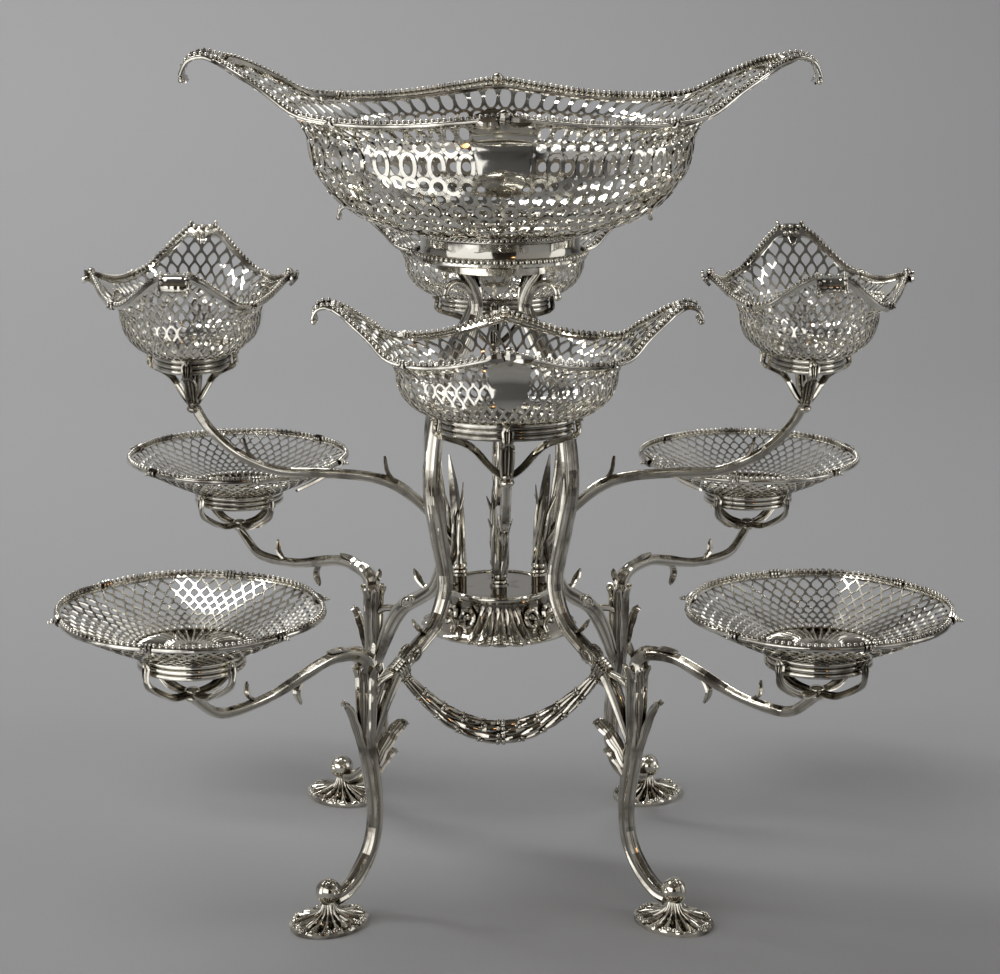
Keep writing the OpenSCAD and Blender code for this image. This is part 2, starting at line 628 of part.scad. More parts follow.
// Large basket
module at_basket() {
  translate([0, 0, crown_top + fit_gap + bowl_foot_h])
    children();
}
module basket() {
  color(silver)
    at_basket()
      pierced(bowl_shape, 22, 4, 0.68);
}
module basket_rim() {
  color(bright)
    at_basket()
      oval_rim(bowl_shape, 44, 2.6);
}
module basket_foot() {
  h = bowl_foot_h;
  color(bright)
    at_basket()
      reeds(bowl_foot_a, bowl_foot_b,
        [[0, -h, -0.74 * h], [4, -0.74 * h, -0.2 * h], [2.4, -0.2 * h, 0]], 7.6, 1.4);
}

leg_fl();
leg_fr();
leg_rl();
leg_rr();
foot_fl();
foot_fr();
foot_rl();
foot_rr();
pan();
pan_sockets();
leg_sockets();
crown_ring();
swag();
lower_arm_fl();
lower_arm_fr();
lower_arm_rl();
lower_arm_rr();
lower_cradle_fl();
lower_cradle_fr();
lower_cradle_rl();
lower_cradle_rr();
dish_fl();
dish_fr();
dish_rl();
dish_rr();
dish_rim_fl();
dish_rim_fr();
dish_rim_rl();
dish_rim_rr();
dish_foot_fl();
dish_foot_fr();
dish_foot_rl();
dish_foot_rr();
upper_arm_front();
upper_arm_rear();
upper_arm_left();
upper_arm_right();
upper_cradle_front();
upper_cradle_rear();
upper_cradle_left();
upper_cradle_right();
boat_front();
boat_rear();
boat_left();
boat_right();
boat_rim_front();
boat_rim_rear();
boat_rim_left();
boat_rim_right();
boat_foot_front();
boat_foot_rear();
boat_foot_left();
boat_foot_right();
basket();
basket_rim();
basket_foot();
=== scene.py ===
# Epergne in polished silver: branch stand, eight lift-out arms and nine pierced dishes.
# Shapes are worked in millimetres and brought to metres when a piece is finished.
import bisect
import math

import bmesh
import bpy
from mathutils import Matrix, Vector


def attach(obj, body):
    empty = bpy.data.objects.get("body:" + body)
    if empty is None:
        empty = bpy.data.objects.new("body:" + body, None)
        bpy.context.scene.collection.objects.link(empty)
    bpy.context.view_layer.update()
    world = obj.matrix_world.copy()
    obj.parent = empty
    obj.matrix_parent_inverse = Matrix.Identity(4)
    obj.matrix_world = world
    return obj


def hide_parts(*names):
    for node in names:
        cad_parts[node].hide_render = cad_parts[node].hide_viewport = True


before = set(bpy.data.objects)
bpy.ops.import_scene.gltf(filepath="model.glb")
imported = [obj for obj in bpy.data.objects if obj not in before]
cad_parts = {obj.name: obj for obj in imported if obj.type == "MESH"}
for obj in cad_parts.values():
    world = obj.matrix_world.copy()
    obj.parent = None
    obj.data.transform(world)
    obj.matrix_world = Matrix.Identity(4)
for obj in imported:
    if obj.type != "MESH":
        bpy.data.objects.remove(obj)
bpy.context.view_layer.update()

# Sizes shared with the solid parts
MM = 0.001
UP = Vector((0.0, 0.0, 1.0))
ACROSS = Vector((0.0, 1.0, 0.0))
LEG_AZIMUTH = 46.5
LEG_TURNS = {"fl": 180.0 + LEG_AZIMUTH, "fr": -LEG_AZIMUTH,
             "rl": 180.0 - LEG_AZIMUTH, "rr": LEG_AZIMUTH}
ARM_TURNS = {"front": 270.0, "rear": 90.0, "left": 180.0, "right": 0.0}
FOOT_REACH = 138.0
FOOT_TOP = 12.5
VOLUTE_Z = 19.5
LEG_R = 4.8
PAN_TOP = 166.0
PAN_R = 30.0
CROWN_LOW = 350.3
CROWN_R = 38.0
LOW_SOCKET, LOW_SEAT, LOW_TOP = 108.0, 128.0, 138.0
LOW_REACH, LOW_COLLAR = 233.0, 164.0
UP_SOCKET, UP_TOP = 22.5, 173.0
UP_REACH, UP_COLLAR = 172.0, 270.0
ARM_R = 2.8
PIN_R, PIN_LEN = 2.4, 7.0
FIT_GAP = 0.3
RING_H = 8.7
DISH_Z = 180.3
DISH_FOOT_R = 28.0
BOAT_Z = 302.9
BOAT_FOOT = (34.0, 22.0)
BOWL_Z = 371.3

# Sizes of the dressed pieces alone
SHEET = 0.9
PLATE = 1.5
SHARP = 38.0
TIE_REACH = 82.0
SWAG_DROP = 37.0


# Small tools for paths and shapes

def mix(a, b, t):
    return a + (b - a) * t


def polar(reach, turn, z=0.0, squash=1.0):
    """Point at a reach and a turn, in radians, round the upright axis."""
    return Vector((reach * math.cos(turn), reach * squash * math.sin(turn), z))


def in_plane(points):
    """Points in the plane of a leg or arm, from (reach, height) pairs."""
    return [(x, 0.0, z) for x, z in points]


def smooth_path(points, per=5):
    """Curve through the points; each point may carry extra values after its place."""
    pts = [Vector(p) for p in points]
    last = len(pts) - 1
    out = []
    for i in range(last):
        a, b, c, d = pts[max(i - 1, 0)], pts[i], pts[i + 1], pts[min(i + 2, last)]
        for k in range(per):
            t = k / per
            out.append(0.5 * (2 * b + (c - a) * t + (2 * a - 5 * b + 4 * c - d) * t * t
                              + (3 * b - a - 3 * c + d) * t ** 3))
    return out + [pts[last]]


def even_points(path, pitch):
    """Points at an even pitch along a path."""
    total = sum((b - a).length for a, b in zip(path, path[1:]))
    count = max(1, round(total / pitch))
    step, out, run, due = total / count, [path[0].copy()], 0.0, total / count
    for a, b in zip(path, path[1:]):
        piece = (b - a).length
        while piece > 0 and run + piece >= due - 1e-6 and len(out) <= count:
            out.append(a.lerp(b, (due - run) / piece))
            due += step
        run += piece
    return out


def frames_along(path, ref):
    """One matrix at each point: Z along the path, X towards the reference direction."""
    out = []
    for i, p in enumerate(path):
        t = (path[min(i + 1, len(path) - 1)] - path[max(i - 1, 0)]).normalized()
        x = (ref - ref.dot(t) * t).normalized()
        m = Matrix((x, t.cross(x), t)).transposed().to_4x4()
        m.translation = p
        out.append(m)
    return out


def mesh_of(bm, name):
    mesh = bpy.data.meshes.new(name)
    bm.to_mesh(mesh)
    bm.free()
    return mesh


def show(name, data):
    """New object in the scene."""
    made = bpy.data.objects.new(name, data)
    bpy.context.scene.collection.objects.link(made)
    return made


def tube(bm, path, radii, sides=10, ref=ACROSS, flat=1.0, flutes=0, cut=0.0):
    """Closed bar swept along a path, round or fluted."""
    shapes = [m @ Matrix.Diagonal((r, r * flat, 1.0, 1.0)) for m, r in zip(frames_along(path, ref), radii)]
    part = bmesh.new()
    ring = bmesh.ops.create_circle(part, cap_ends=True, segments=sides, radius=1.0)["verts"]
    face = ring[0].link_faces[0]
    for k, v in enumerate(ring):
        v.co *= 1.0 + cut * math.cos(flutes * 2 * math.pi * k / sides)
    bmesh.ops.transform(part, matrix=shapes[0], verts=ring)
    for before, now in zip(shapes, shapes[1:]):
        made = bmesh.ops.extrude_face_region(part, geom=[face])["geom"]
        face = next(g for g in made if isinstance(g, bmesh.types.BMFace))
        bmesh.ops.transform(part, matrix=now @ before.inverted(), verts=face.verts)
    join(bm, part)


def branch(bm, points, thick, sides=20, flutes=5, cut=0.1, per=5):
    """Fluted branch in the plane of a leg or arm, from (reach, height, share of the thickness) points."""
    curve = smooth_path(points, per)
    path = [Vector((p[0], 0.0, p[1])) for p in curve]
    tube(bm, path, [thick * p[2] for p in curve], sides, ACROSS, 1.0, flutes, cut)


def wire(bm, points, radius, sides=8, ref=ACROSS, per=5):
    """Round wire of even thickness through points in space."""
    path = smooth_path(points, per)
    tube(bm, path, [radius] * len(path), sides, ref)


def leaf(bm, points, width, side=ACROSS, fold=0.3, teeth=0, thick=0.9):
    """Pointed leaf along a path, with a folded midrib."""
    def half(t):
        body = max(0.06, (1 - t) ** 0.6 * (0.45 + 1.5 * t))
        return width / 2 * body * (1 + 0.14 * math.sin(teeth * 2 * math.pi * t))
    strap(bm, smooth_path(points, 4), half, side, lambda s: (abs(s) - 0.5) * fold, thick, 4)


def sprouts(bm, leaves):
    """Small leaves in the plane of a leg or arm: (width, fold, teeth, thickness, points)."""
    for width, fold, teeth, thick, points in leaves:
        leaf(bm, in_plane(points), width, ACROSS, fold, teeth, thick)


def acanthus(bm, points, width, side=ACROSS):
    """Broad leaf with four lobes on each edge, ribs and a turned tip."""
    def half(t):
        body = max(0.12, (1 - t) ** 0.4 * (0.5 + 0.8 * t))
        return width / 2 * body * (0.86 + 0.22 * abs(math.sin(4 * math.pi * t)))
    strap(bm, smooth_path(points, 6), half, side,
          lambda s: 0.3 * abs(s) + 0.1 * math.cos(5 * math.pi * s), 1.4, 10)


def grid(bm, wide, long):
    """Vertices of a flat grid that runs from -1 to 1 both ways."""
    return bmesh.ops.create_grid(bm, x_segments=wide, y_segments=long, size=1.0)["verts"]


def thicken(bm, thick):
    bm.normal_update()
    bmesh.ops.solidify(bm, geom=bm.faces[:], thickness=thick)


def strap(bm, path, half, side, crown, thick, across):
    """Strip along a path: half its width and its cross section are given as functions."""
    long = len(path) - 1
    frames = frames_along(path, side)
    part = bmesh.new()
    for v in grid(part, across, long):
        s, i = v.co.x, round((v.co.y + 1) / 2 * long)
        w = half(i / long)
        v.co = frames[i] @ Vector((s * w, crown(s) * w, 0.0))
    thicken(part, thick)
    join(bm, part)


def ball(name, sides, rows):
    part = bmesh.new()
    bmesh.ops.create_uvsphere(part, u_segments=sides, v_segments=rows, radius=1.0)
    return mesh_of(part, name)


SMALL_BALL = ball("small_ball", 10, 7)
LARGE_BALL = ball("large_ball", 20, 12)


def stamp(bm, mesh, place):
    copy = mesh.copy()
    copy.transform(place)
    bm.from_mesh(copy)
    bpy.data.meshes.remove(copy)


def bead(bm, at, radius):
    stamp(bm, SMALL_BALL, Matrix.Translation(at) @ Matrix.Scale(radius, 4))


def knob(bm, at, size, turn=Matrix.Identity(4)):
    """Smooth ball, stretched along three axes."""
    stamp(bm, LARGE_BALL, Matrix.Translation(at) @ turn @ Matrix.Diagonal((*size, 1.0)))


def join(into, part):
    mesh = mesh_of(part, "join")
    into.from_mesh(mesh)
    bpy.data.meshes.remove(mesh)


def lathe(bm, profile, steps, at=(0.0, 0.0, 0.0), oval=1.0, turn=None):
    """Turned shape from (radius, height) points; oval narrows it across."""
    part = bmesh.new()
    verts = [part.verts.new((r, 0.0, z)) for r, z in profile]
    edges = [part.edges.new(pair) for pair in zip(verts, verts[1:])]
    bmesh.ops.spin(part, geom=verts + edges, cent=(0, 0, 0), axis=(0, 0, 1), angle=2 * math.pi,
                   steps=steps, use_merge=True)
    bmesh.ops.remove_doubles(part, verts=part.verts, dist=0.0005)
    bmesh.ops.scale(part, vec=(1.0, oval, 1.0), verts=part.verts)
    place = Matrix.Translation(at) @ (turn or Matrix.Identity(4))
    bmesh.ops.transform(part, matrix=place, verts=part.verts)
    join(bm, part)


def wraps(bm, at, along, radius, thick, count, pitch):
    """Rope turns round a branch."""
    turn = along.to_track_quat("Z", "Y").to_matrix().to_4x4()
    for k in range(count):
        shift = (k - (count - 1) / 2) * pitch
        profile = [(radius + thick * math.cos(a), shift + thick * math.sin(a))
                   for a in (math.radians(d) for d in range(0, 361, 60))]
        lathe(bm, profile, 20, at, 1.0, turn)


def finished(bm, name):
    """Mesh in metres with outward faces and smooth shading."""
    bmesh.ops.recalc_face_normals(bm, faces=bm.faces)
    for f in bm.faces:
        f.smooth = True
    bmesh.ops.scale(bm, vec=(MM, MM, MM), verts=bm.verts)
    mesh = mesh_of(bm, name)
    mesh.set_sharp_from_angle(angle=math.radians(SHARP))
    return mesh


def at_place(turn, reach=0.0, height=0.0, spin=0.0):
    return (Matrix.Rotation(math.radians(turn), 4, "Z") @ Matrix.Translation((reach * MM, 0, height * MM))
            @ Matrix.Rotation(math.radians(spin), 4, "Z"))


# Silver finishes

POLISH = 0.05
WEAR = 0.07


def material(name):
    """New material, with its node tree and its shader."""
    mat = bpy.data.materials.new(name)
    mat.use_nodes = True
    return mat, mat.node_tree, mat.node_tree.nodes["Principled BSDF"]


def mapped(tree, source, low_high, to):
    """Socket's value brought from one range to another."""
    node = tree.nodes.new("ShaderNodeMapRange")
    for name, value in zip(("From Min", "From Max", "To Min", "To Max"), (*low_high, *to)):
        node.inputs[name].default_value = value
    tree.links.new(source, node.inputs["Value"])
    return node.outputs["Result"]


def worked(tree, operation, first, second):
    """Result of a sum on two sockets."""
    node = tree.nodes.new("ShaderNodeMath")
    node.operation = operation
    tree.links.new(first, node.inputs[0])
    tree.links.new(second, node.inputs[1])
    return node.outputs[0]


def blended(tree, factor, first, second):
    """Colour between two colours."""
    node = tree.nodes.new("ShaderNodeMix")
    node.data_type = "RGBA"
    node.inputs["A"].default_value = (*first, 1.0)
    node.inputs["B"].default_value = (*second, 1.0)
    tree.links.new(factor, node.inputs["Factor"])
    return node.outputs["Result"]


def noise(tree, place, scale, detail):
    node = tree.nodes.new("ShaderNodeTexNoise")
    node.inputs["Scale"].default_value = scale
    node.inputs["Detail"].default_value = detail
    tree.links.new(place, node.inputs["Vector"])
    return node.outputs["Fac"]


def axes_of(tree, space):
    """X, Y and Z of a texture space."""
    split = tree.nodes.new("ShaderNodeSeparateXYZ")
    tree.links.new(tree.nodes.new("ShaderNodeTexCoord").outputs[space], split.inputs["Vector"])
    return split.outputs


def silver_finish(name, clean, tarnish_and_shade, depth, patina, creases):
    """Polished silver with a soft patina in patches and fine handling marks; recesses and creases are
    darkened with tarnish and painted shade.
    """
    mat, tree, shader = material(name)
    shader.inputs["Metallic"].default_value = 1.0
    place = tree.nodes.new("ShaderNodeTexCoord").outputs["Object"]
    clouds, marks = noise(tree, place, 55.0, 4.0), noise(tree, place, 420.0, 3.0)
    # Tarnish and painted shade in recesses: ambient occlusion darkens the colour between beads, along lattice
    # edges and in hollows.
    recess = tree.nodes.new("ShaderNodeAmbientOcclusion")
    recess.only_local = True
    recess.samples = 6
    recess.inputs["Distance"].default_value = depth
    hollow = mapped(tree, recess.outputs["AO"], (0.95, 0.5), (0.0, 1.0))
    recess_tarnish_and_shade = worked(tree, "MULTIPLY", hollow, mapped(tree, clouds, (0.35, 0.7), (0.75, 1.0)))
    patch = mapped(tree, clouds, (0.42, 0.68), (0.0, patina))
    # Tarnish and painted shade in creases: low pointiness darkens the colour in flutes and folds.
    fold = tree.nodes.new("ShaderNodeNewGeometry").outputs["Pointiness"]
    crease = mapped(tree, fold, (0.54, 0.468), (0.0, creases))
    dark = worked(tree, "MAXIMUM", worked(tree, "MAXIMUM", recess_tarnish_and_shade, patch), crease)
    tree.links.new(blended(tree, dark, clean, tarnish_and_shade), shader.inputs["Base Color"])
    tree.links.new(mapped(tree, marks, (0.3, 0.75), (POLISH, POLISH + WEAR)), shader.inputs["Roughness"])
    bump = tree.nodes.new("ShaderNodeBump")
    bump.inputs["Strength"].default_value = 0.12
    bump.inputs["Distance"].default_value = 0.0002
    tree.links.new(clouds, bump.inputs["Height"])
    tree.links.new(bump.outputs["Normal"], shader.inputs["Normal"])
    return mat


# Second colour of each finish: tarnish in the patina patches, and tarnish with painted shade in recesses and
# creases.
SHEET_SILVER = silver_finish("sheet_silver", (0.89, 0.865, 0.785), (0.14, 0.115, 0.08),
                             depth=0.004, patina=0.12, creases=0.0)
CAST_SILVER = silver_finish("cast_silver", (0.90, 0.865, 0.765), (0.085, 0.065, 0.045),
                            depth=0.005, patina=0.85, creases=0.9)
BEAD_SILVER = silver_finish("bead_silver", (0.90, 0.87, 0.785), (0.07, 0.055, 0.04),
                            depth=0.003, patina=0.9, creases=0.5)


def put(shape, name, body, node, finish, where=Matrix.Identity(4)):
    """A copy of a finished shape, in its place, riding on its body for the solid part."""
    mesh = shape.copy()
    mesh.name = name
    mesh.transform(where)
    mesh.materials.clear()
    mesh.materials.append(finish)
    piece = show(name, mesh)
    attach(piece, body)
    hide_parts(node)


# Oval basket forms

BELLY = 0.6
BOAT = {"foot": (31.0, 19.5), "belly": (55.0, 39.0), "belly_h": 21.1, "cells": 52,
        "keys": [(0, 86, 55), (5.4, 84.4, 54), (18, 72.5, 42.6), (27.1, 68.3, 35.2), (36.8, 63.4, 33),
                 (54, 55.2, 33.4), (77, 53.2, 38.2), (90, 56.0, 41.6)],
        "crest": (86.0, 8.0, 55.0), "peak": 0.8, "wire": 1.0, "bead": 1.15, "pitch": 3.0, "curl_w": 7.4,
        "flare": 0.9, "knot": 36.8, "shields": {270.0: (14.0, 0.42, 0.95), 90.0: (14.0, 0.3, 0.68)},
        "shares": {}}
BOWL = {"foot": (44.5, 35.0), "belly": (105.3, 73.7), "belly_h": 49.4, "cells": 72,
        "keys": [(0, 156, 92.5), (4.8, 154.5, 91.5), (9.6, 149.5, 89.4), (18.3, 135.5, 79.5),
                 (27.2, 124.6, 68.4), (36.9, 113.1, 65), (53.9, 98.6, 64.8), (76.9, 94.8, 68.4),
                 (90, 97, 70.8)],
        "crest": (156.0, 13.0, 92.5), "peak": 0.1, "wire": 1.2, "bead": 1.35, "pitch": 3.25, "curl_w": 8.5,
        "flare": 1.5, "knot": 36.9, "shields": {270.0: (12.0, 0.41, 0.955), 90.0: (12.0, 0.41, 0.74)},
        "shares": {}}
BOAT_ROWS = [0.05, 0.11, 0.18, 0.26, 0.35, 0.45, 0.56, 0.68, 0.81, 0.95, 1.09, 1.23, 1.37, 1.51]
BOWL_ROWS = [1.53, 1.415, 1.3, 1.185, 1.07, 0.96, 0.75, 0.6, 0.495, 0.432, 0.365, 0.308, 0.256]
BOWL_LOW_ROWS = [0.256, 0.2, 0.148, 0.1, 0.056]
PANEL_TURN, PANEL_LOW = 8.0, 0.94


def key_value(keys, x, column, peak):
    """Smooth value between keys of (angle, reach, height); peak sets how pointed the middle is."""
    i = min(max(bisect.bisect_right([k[0] for k in keys], x) - 1, 0), len(keys) - 2)

    def rise(j):
        return (keys[j + 1][column] - keys[j][column]) / (keys[j + 1][0] - keys[j][0])

    def slope(j):
        if j == 0:
            return 0.0
        return peak * rise(j - 1) if j == len(keys) - 1 else 0.5 * (rise(j - 1) + rise(j))
    span = keys[i + 1][0] - keys[i][0]
    t = (x - keys[i][0]) / span
    a, b = keys[i][column], keys[i + 1][column]
    return ((2 * t ** 3 - 3 * t ** 2 + 1) * a + (t ** 3 - 2 * t ** 2 + t) * span * slope(i)
            + (3 * t ** 2 - 2 * t ** 3) * b + (t ** 3 - t ** 2) * span * slope(i + 1))


def folded(angle):
    """Angle brought into the first quarter of an oval."""
    a = angle % 180.0
    return 180.0 - a if a > 90.0 else a


def rim_point(form, angle):
    """Rim of an oval basket in the direction of an angle, in degrees."""
    r, z = (key_value(form["keys"], folded(angle), k, form["peak"]) for k in (1, 2))
    return polar(r, math.radians(angle), z)


def oval_reach(axes, c, s):
    return 1.0 / math.sqrt((c / axes[0]) ** 2 + (s / axes[1]) ** 2)


def flare_power(form, s):
    """The long sides stay upright before they flare; the ends flare at once."""
    return 1.5 + form["flare"] * s * s


def wall_point(form, angle, v):
    """Point on an oval wall: v runs from the foot to the rim."""
    t = math.radians(angle)
    c, s = math.cos(t), math.sin(t)
    foot, belly = oval_reach(form["foot"], c, s), oval_reach(form["belly"], c, s)
    if v <= BELLY:
        a = math.pi / 2 * v / BELLY
        r, z = mix(foot, belly, math.sin(a)), form["belly_h"] * (1 - math.cos(a))
    else:
        edge = rim_point(form, angle)
        k = (v - BELLY) / (1 - BELLY)
        r = belly + (math.hypot(edge.x, edge.y) - belly) * k ** flare_power(form, s)
        z = mix(form["belly_h"], edge.z, k)
    return Vector((r * c, r * s, z))


def flare_length(form, angle):
    edge, t = rim_point(form, angle), math.radians(angle)
    out = math.hypot(edge.x, edge.y) - oval_reach(form["belly"], math.cos(t), math.sin(t))
    return math.hypot(out, edge.z - form["belly_h"])


def handle_share(form, angle):
    """How much longer the wall is over a handle than beside the knots."""
    step = round(4 * folded(angle))
    if step not in form["shares"]:
        beside = flare_length(form, max(step / 4, form["knot"]))
        form["shares"][step] = flare_length(form, step / 4) / beside
    return form["shares"][step]


def pattern_point(form, angle, y):
    """Point of the pierced pattern, which keeps its size where the wall runs on into a handle."""
    if y > BELLY:
        y = min(1.0, BELLY + (y - BELLY) / handle_share(form, angle))
    return wall_point(form, angle, y)


def trim_pattern(bm, form, angle):
    """Takes away what stands above the rim."""
    def above(face):
        c = face.calc_center_median()
        return c.y > BELLY + (1 - BELLY) * handle_share(form, angle(c.x)) - 0.005
    bmesh.ops.delete(bm, geom=[f for f in bm.faces if above(f)], context="FACES")


def even_angles(axes, count):
    """Ray angles at even steps of length round an oval."""
    a, b = axes
    turns = [2 * math.pi * i / 720 for i in range(721)]
    pts = [Vector((a * math.cos(t), b * math.sin(t))) for t in turns]
    run = [0.0]
    for p, q in zip(pts, pts[1:]):
        run.append(run[-1] + (q - p).length)
    rays = [math.degrees(math.atan2(b * math.sin(t), a * math.cos(t))) % 360.0 for t in turns]
    rays[-1] = 360.0

    def angle(x):
        turn, part = divmod(x / count, 1.0)
        want = part * run[-1]
        i = min(bisect.bisect_right(run, want) - 1, 719)
        return 360.0 * turn + mix(rays[i], rays[i + 1], (want - run[i]) / (run[i + 1] - run[i]))
    return angle


def raise_sheet(bm, surface, thick):
    """Forms a flat pattern over a surface and gives it the thickness of the sheet."""
    for v in bm.verts:
        x, y, lift = v.co
        du = surface(x + 0.02, y) - surface(x - 0.02, y)
        dv = surface(x, y + 0.01) - surface(x, max(y - 0.01, 0.0))
        v.co = surface(x, y) + du.cross(dv).normalized() * (lift + thick / 2)
    thicken(bm, thick)


def repeat_along(bm, pitch, count):
    bmesh.ops.spin(bm, geom=bm.verts[:] + bm.edges[:] + bm.faces[:], cent=(0, 0, 0), axis=(0, 0, 1),
                   dvec=(pitch, 0, 0), angle=0.0, steps=count, use_duplicate=True)


def ogee_bars(cells, rows, bar, per=5):
    """Flat pattern of waved bars that meet to leave staggered pointed openings."""
    bm = bmesh.new()
    last = len(rows) - 1
    for k, sign in enumerate((1, -1)):
        for v in grid(bm, 1, last * per):
            t = (v.co.y + 1) / 2 * last
            i = min(int(t + 1e-6), last - 1)
            h = mix(rows[i], rows[i + 1], t - i)
            mid = 0.25 + 0.5 * k + sign * 0.25 * math.cos(math.pi * t)
            v.co = (mid + v.co.x * bar(h) / 2, h, 0.14 * k)
    repeat_along(bm, 1.0, cells - 1)
    return bm


def ring_rows(cells, stops, bar, bar_v):
    """Flat pattern of rows of rings that touch at the stops, from the top row down."""
    whole = bmesh.new()
    for j, (high, low) in enumerate(zip(stops, stops[1:])):
        bm = bmesh.new()
        mid = (low + high) / 2
        thin, tall = bar(mid), bar_v(mid)
        a, b = 0.5 + thin / 2, (high - low) / 2 + tall / 2
        for k in range(2):
            loops = []
            for wide, high_half in ((a, b), (a - thin, b - tall)):
                loop = bmesh.ops.create_circle(bm, cap_ends=False, segments=16, radius=1.0)["verts"]
                bmesh.ops.scale(bm, vec=(wide, high_half, 1.0), verts=loop)
                lift = 0.12 * ((k + j) % 2) + 0.05 * (j % 2)
                bmesh.ops.translate(bm, vec=(0.5 + k, mid, lift), verts=loop)
                loops += list({e for v in loop for e in v.link_edges})
            bmesh.ops.bridge_loops(bm, edges=loops)
        repeat_along(bm, 2.0, cells // 2 - 1)
        join(whole, bm)
    return whole


def plate(bm, low, high, nx, ny, edge_low, edge_high):
    """Flat plain patch between two angles; its lower and upper edges may curve."""
    for v in grid(bm, nx, ny):
        s, t = v.co.x, (v.co.y + 1) / 2
        v.co = (mix(low, high, (s + 1) / 2), mix(edge_low(s), edge_high(s), t), 0.0)


def shield_edges(shield):
    """Lower and upper edge of a bare shield, over its width from -1 to 1."""
    _, low, high = shield
    return (lambda s: low + 0.2 * (1 - math.sqrt(max(0.0, 1 - s * s)))), (lambda s: high - 0.06 * s * s)


def cut_shields(bm, angle, shields):
    """Takes the pattern out where the plain shields stand."""
    for mid, shield in shields.items():
        low, high = shield_edges(shield)

        def covered(face):
            c = face.calc_center_median()
            off = (angle(c.x) % 360.0 - mid) / shield[0]
            return abs(off) < 0.94 and low(off) + 0.015 < c.y < high(off) - 0.015
        bmesh.ops.delete(bm, geom=[f for f in bm.faces if covered(f)], context="FACES")


def oval_plates(form, foot_band, rim_band):
    """Plain bands at foot and rim, bare shields on the long sides, handle panels at the ends."""
    bm = bmesh.new()
    for low, high in ((0.0, foot_band), (rim_band, 1.0)):
        plate(bm, 0.0, 360.0, 120, 2, lambda s: low, lambda s: high)
    for mid, shield in form["shields"].items():
        plate(bm, mid - shield[0], mid + shield[0], 14, 10, *shield_edges(shield))
    for mid in (0.0, 180.0):
        plate(bm, mid - PANEL_TURN, mid + PANEL_TURN, 16, 6,
              lambda s: mix(PANEL_LOW, 0.98, abs(s) ** 1.6), lambda s: 1.0)
    raise_sheet(bm, lambda a, v: wall_point(form, a, v), PLATE)
    bmesh.ops.remove_doubles(bm, verts=bm.verts, dist=0.01)
    return bm


def form_pattern(bm, form, angle):
    """Cuts a flat pattern to the shields and the rim, and forms it into the wall."""
    cut_shields(bm, angle, form["shields"])
    trim_pattern(bm, form, angle)
    raise_sheet(bm, lambda x, v: pattern_point(form, angle(x), v), SHEET)


def bar_width(form, width):
    """Width of a bar as a share of a cell, which narrows towards the foot."""
    belly = sum(form["belly"]) / 2
    foot = sum(form["foot"]) / 2

    def share(v):
        r = mix(foot, belly, math.sin(math.pi / 2 * min(v / BELLY, 1.0)))
        return width * form["cells"] / (2 * math.pi * r)
    return share


def boat_wall():
    """Waved bars that leave staggered pointed openings, larger towards the rim."""
    angle = even_angles(BOAT["belly"], BOAT["cells"])
    bm = ogee_bars(BOAT["cells"], BOAT_ROWS, bar_width(BOAT, 1.35))
    form_pattern(bm, BOAT, angle)
    join(bm, oval_plates(BOAT, 0.06, 0.96))
    return finished(bm, "boat_wall")


def bowl_wall():
    """Rows of ringed openings in upright columns, tallest under the rim and fewer towards the foot."""
    bm = oval_plates(BOWL, 0.055, 0.965)
    for cells, stops, bar in ((BOWL["cells"], BOWL_ROWS, 2.1), (56, BOWL_LOW_ROWS, 1.9)):
        angle = even_angles(BOWL["belly"], cells)
        share = bar_width(BOWL, bar * cells / BOWL["cells"])
        part = ring_rows(cells, stops, lambda v: share(v) * (1.0 if v < 0.75 else 0.88),
                         lambda v: 0.018 if v < BELLY else 0.034 if v < 0.75 else 0.02)
        form_pattern(part, BOWL, angle)
        join(bm, part)
    return finished(bm, "bowl_wall")


def inside_edge(form, angle, gap):
    """Point on the wall that lies inside the rim by a gap, across a handle."""
    edge = rim_point(form, angle)
    y = edge.y - gap
    turn = math.atan2(y, edge.x)
    c, s = math.cos(turn), math.sin(turn)
    turn = math.degrees(turn)
    belly, top = oval_reach(form["belly"], c, s), rim_point(form, turn)
    k = max(0.0, (math.hypot(edge.x, y) - belly) / (math.hypot(top.x, top.y) - belly))
    return wall_point(form, turn, min(1.0, mix(BELLY, 1.0, k ** (1 / flare_power(form, s)))))


def curl_size(form):
    """How far a handle's roll runs out past the crest, and how far it drops."""
    return 0.115 * form["crest"][0], 0.075 * form["crest"][0]


def curl_points(form, side):
    """Edge of a handle from its crest over to the roll, at the right-hand end."""
    x, y, z = form["crest"]
    out, drop = curl_size(form)
    steps = ((0.02, 0.0, -0.2), (0.35, 0.4, 0.14 * drop), (0.78, 0.75, -0.05 * drop),
             (1.0, 1.0, -0.62 * drop), (1.0, 1.0, -0.95 * drop))
    return [Vector((x + a * out, side * mix(y, form["curl_w"], b), z + up)) for a, b, up in steps]


def edge_path(form, side):
    """Rim along one long side, from handle roll to handle roll."""
    first, count = form["keys"][1][0], 72
    body = [rim_point(form, mix(first, 180.0 - first, i / count)) for i in range(1, count)]
    curl = smooth_path(curl_points(form, side), 4)
    return (list(reversed(curl)) + [Vector((p.x, side * p.y, p.z)) for p in body]
            + [Vector((-p.x, p.y, p.z)) for p in curl])


def inward_beads(bm, path, side, radius, pitch, lift, inset):
    """Bead row that follows a rim a little inside and above it."""
    points = even_points(path, pitch)
    for i in range(1, len(points) - 1):
        run = points[i + 1] - points[i - 1]
        level = Vector((run.x, run.y, 0.0))
        if level.length > 0.25 * run.length:
            bead(bm, points[i] + UP * lift + UP.cross(level.normalized()) * side * inset, radius)


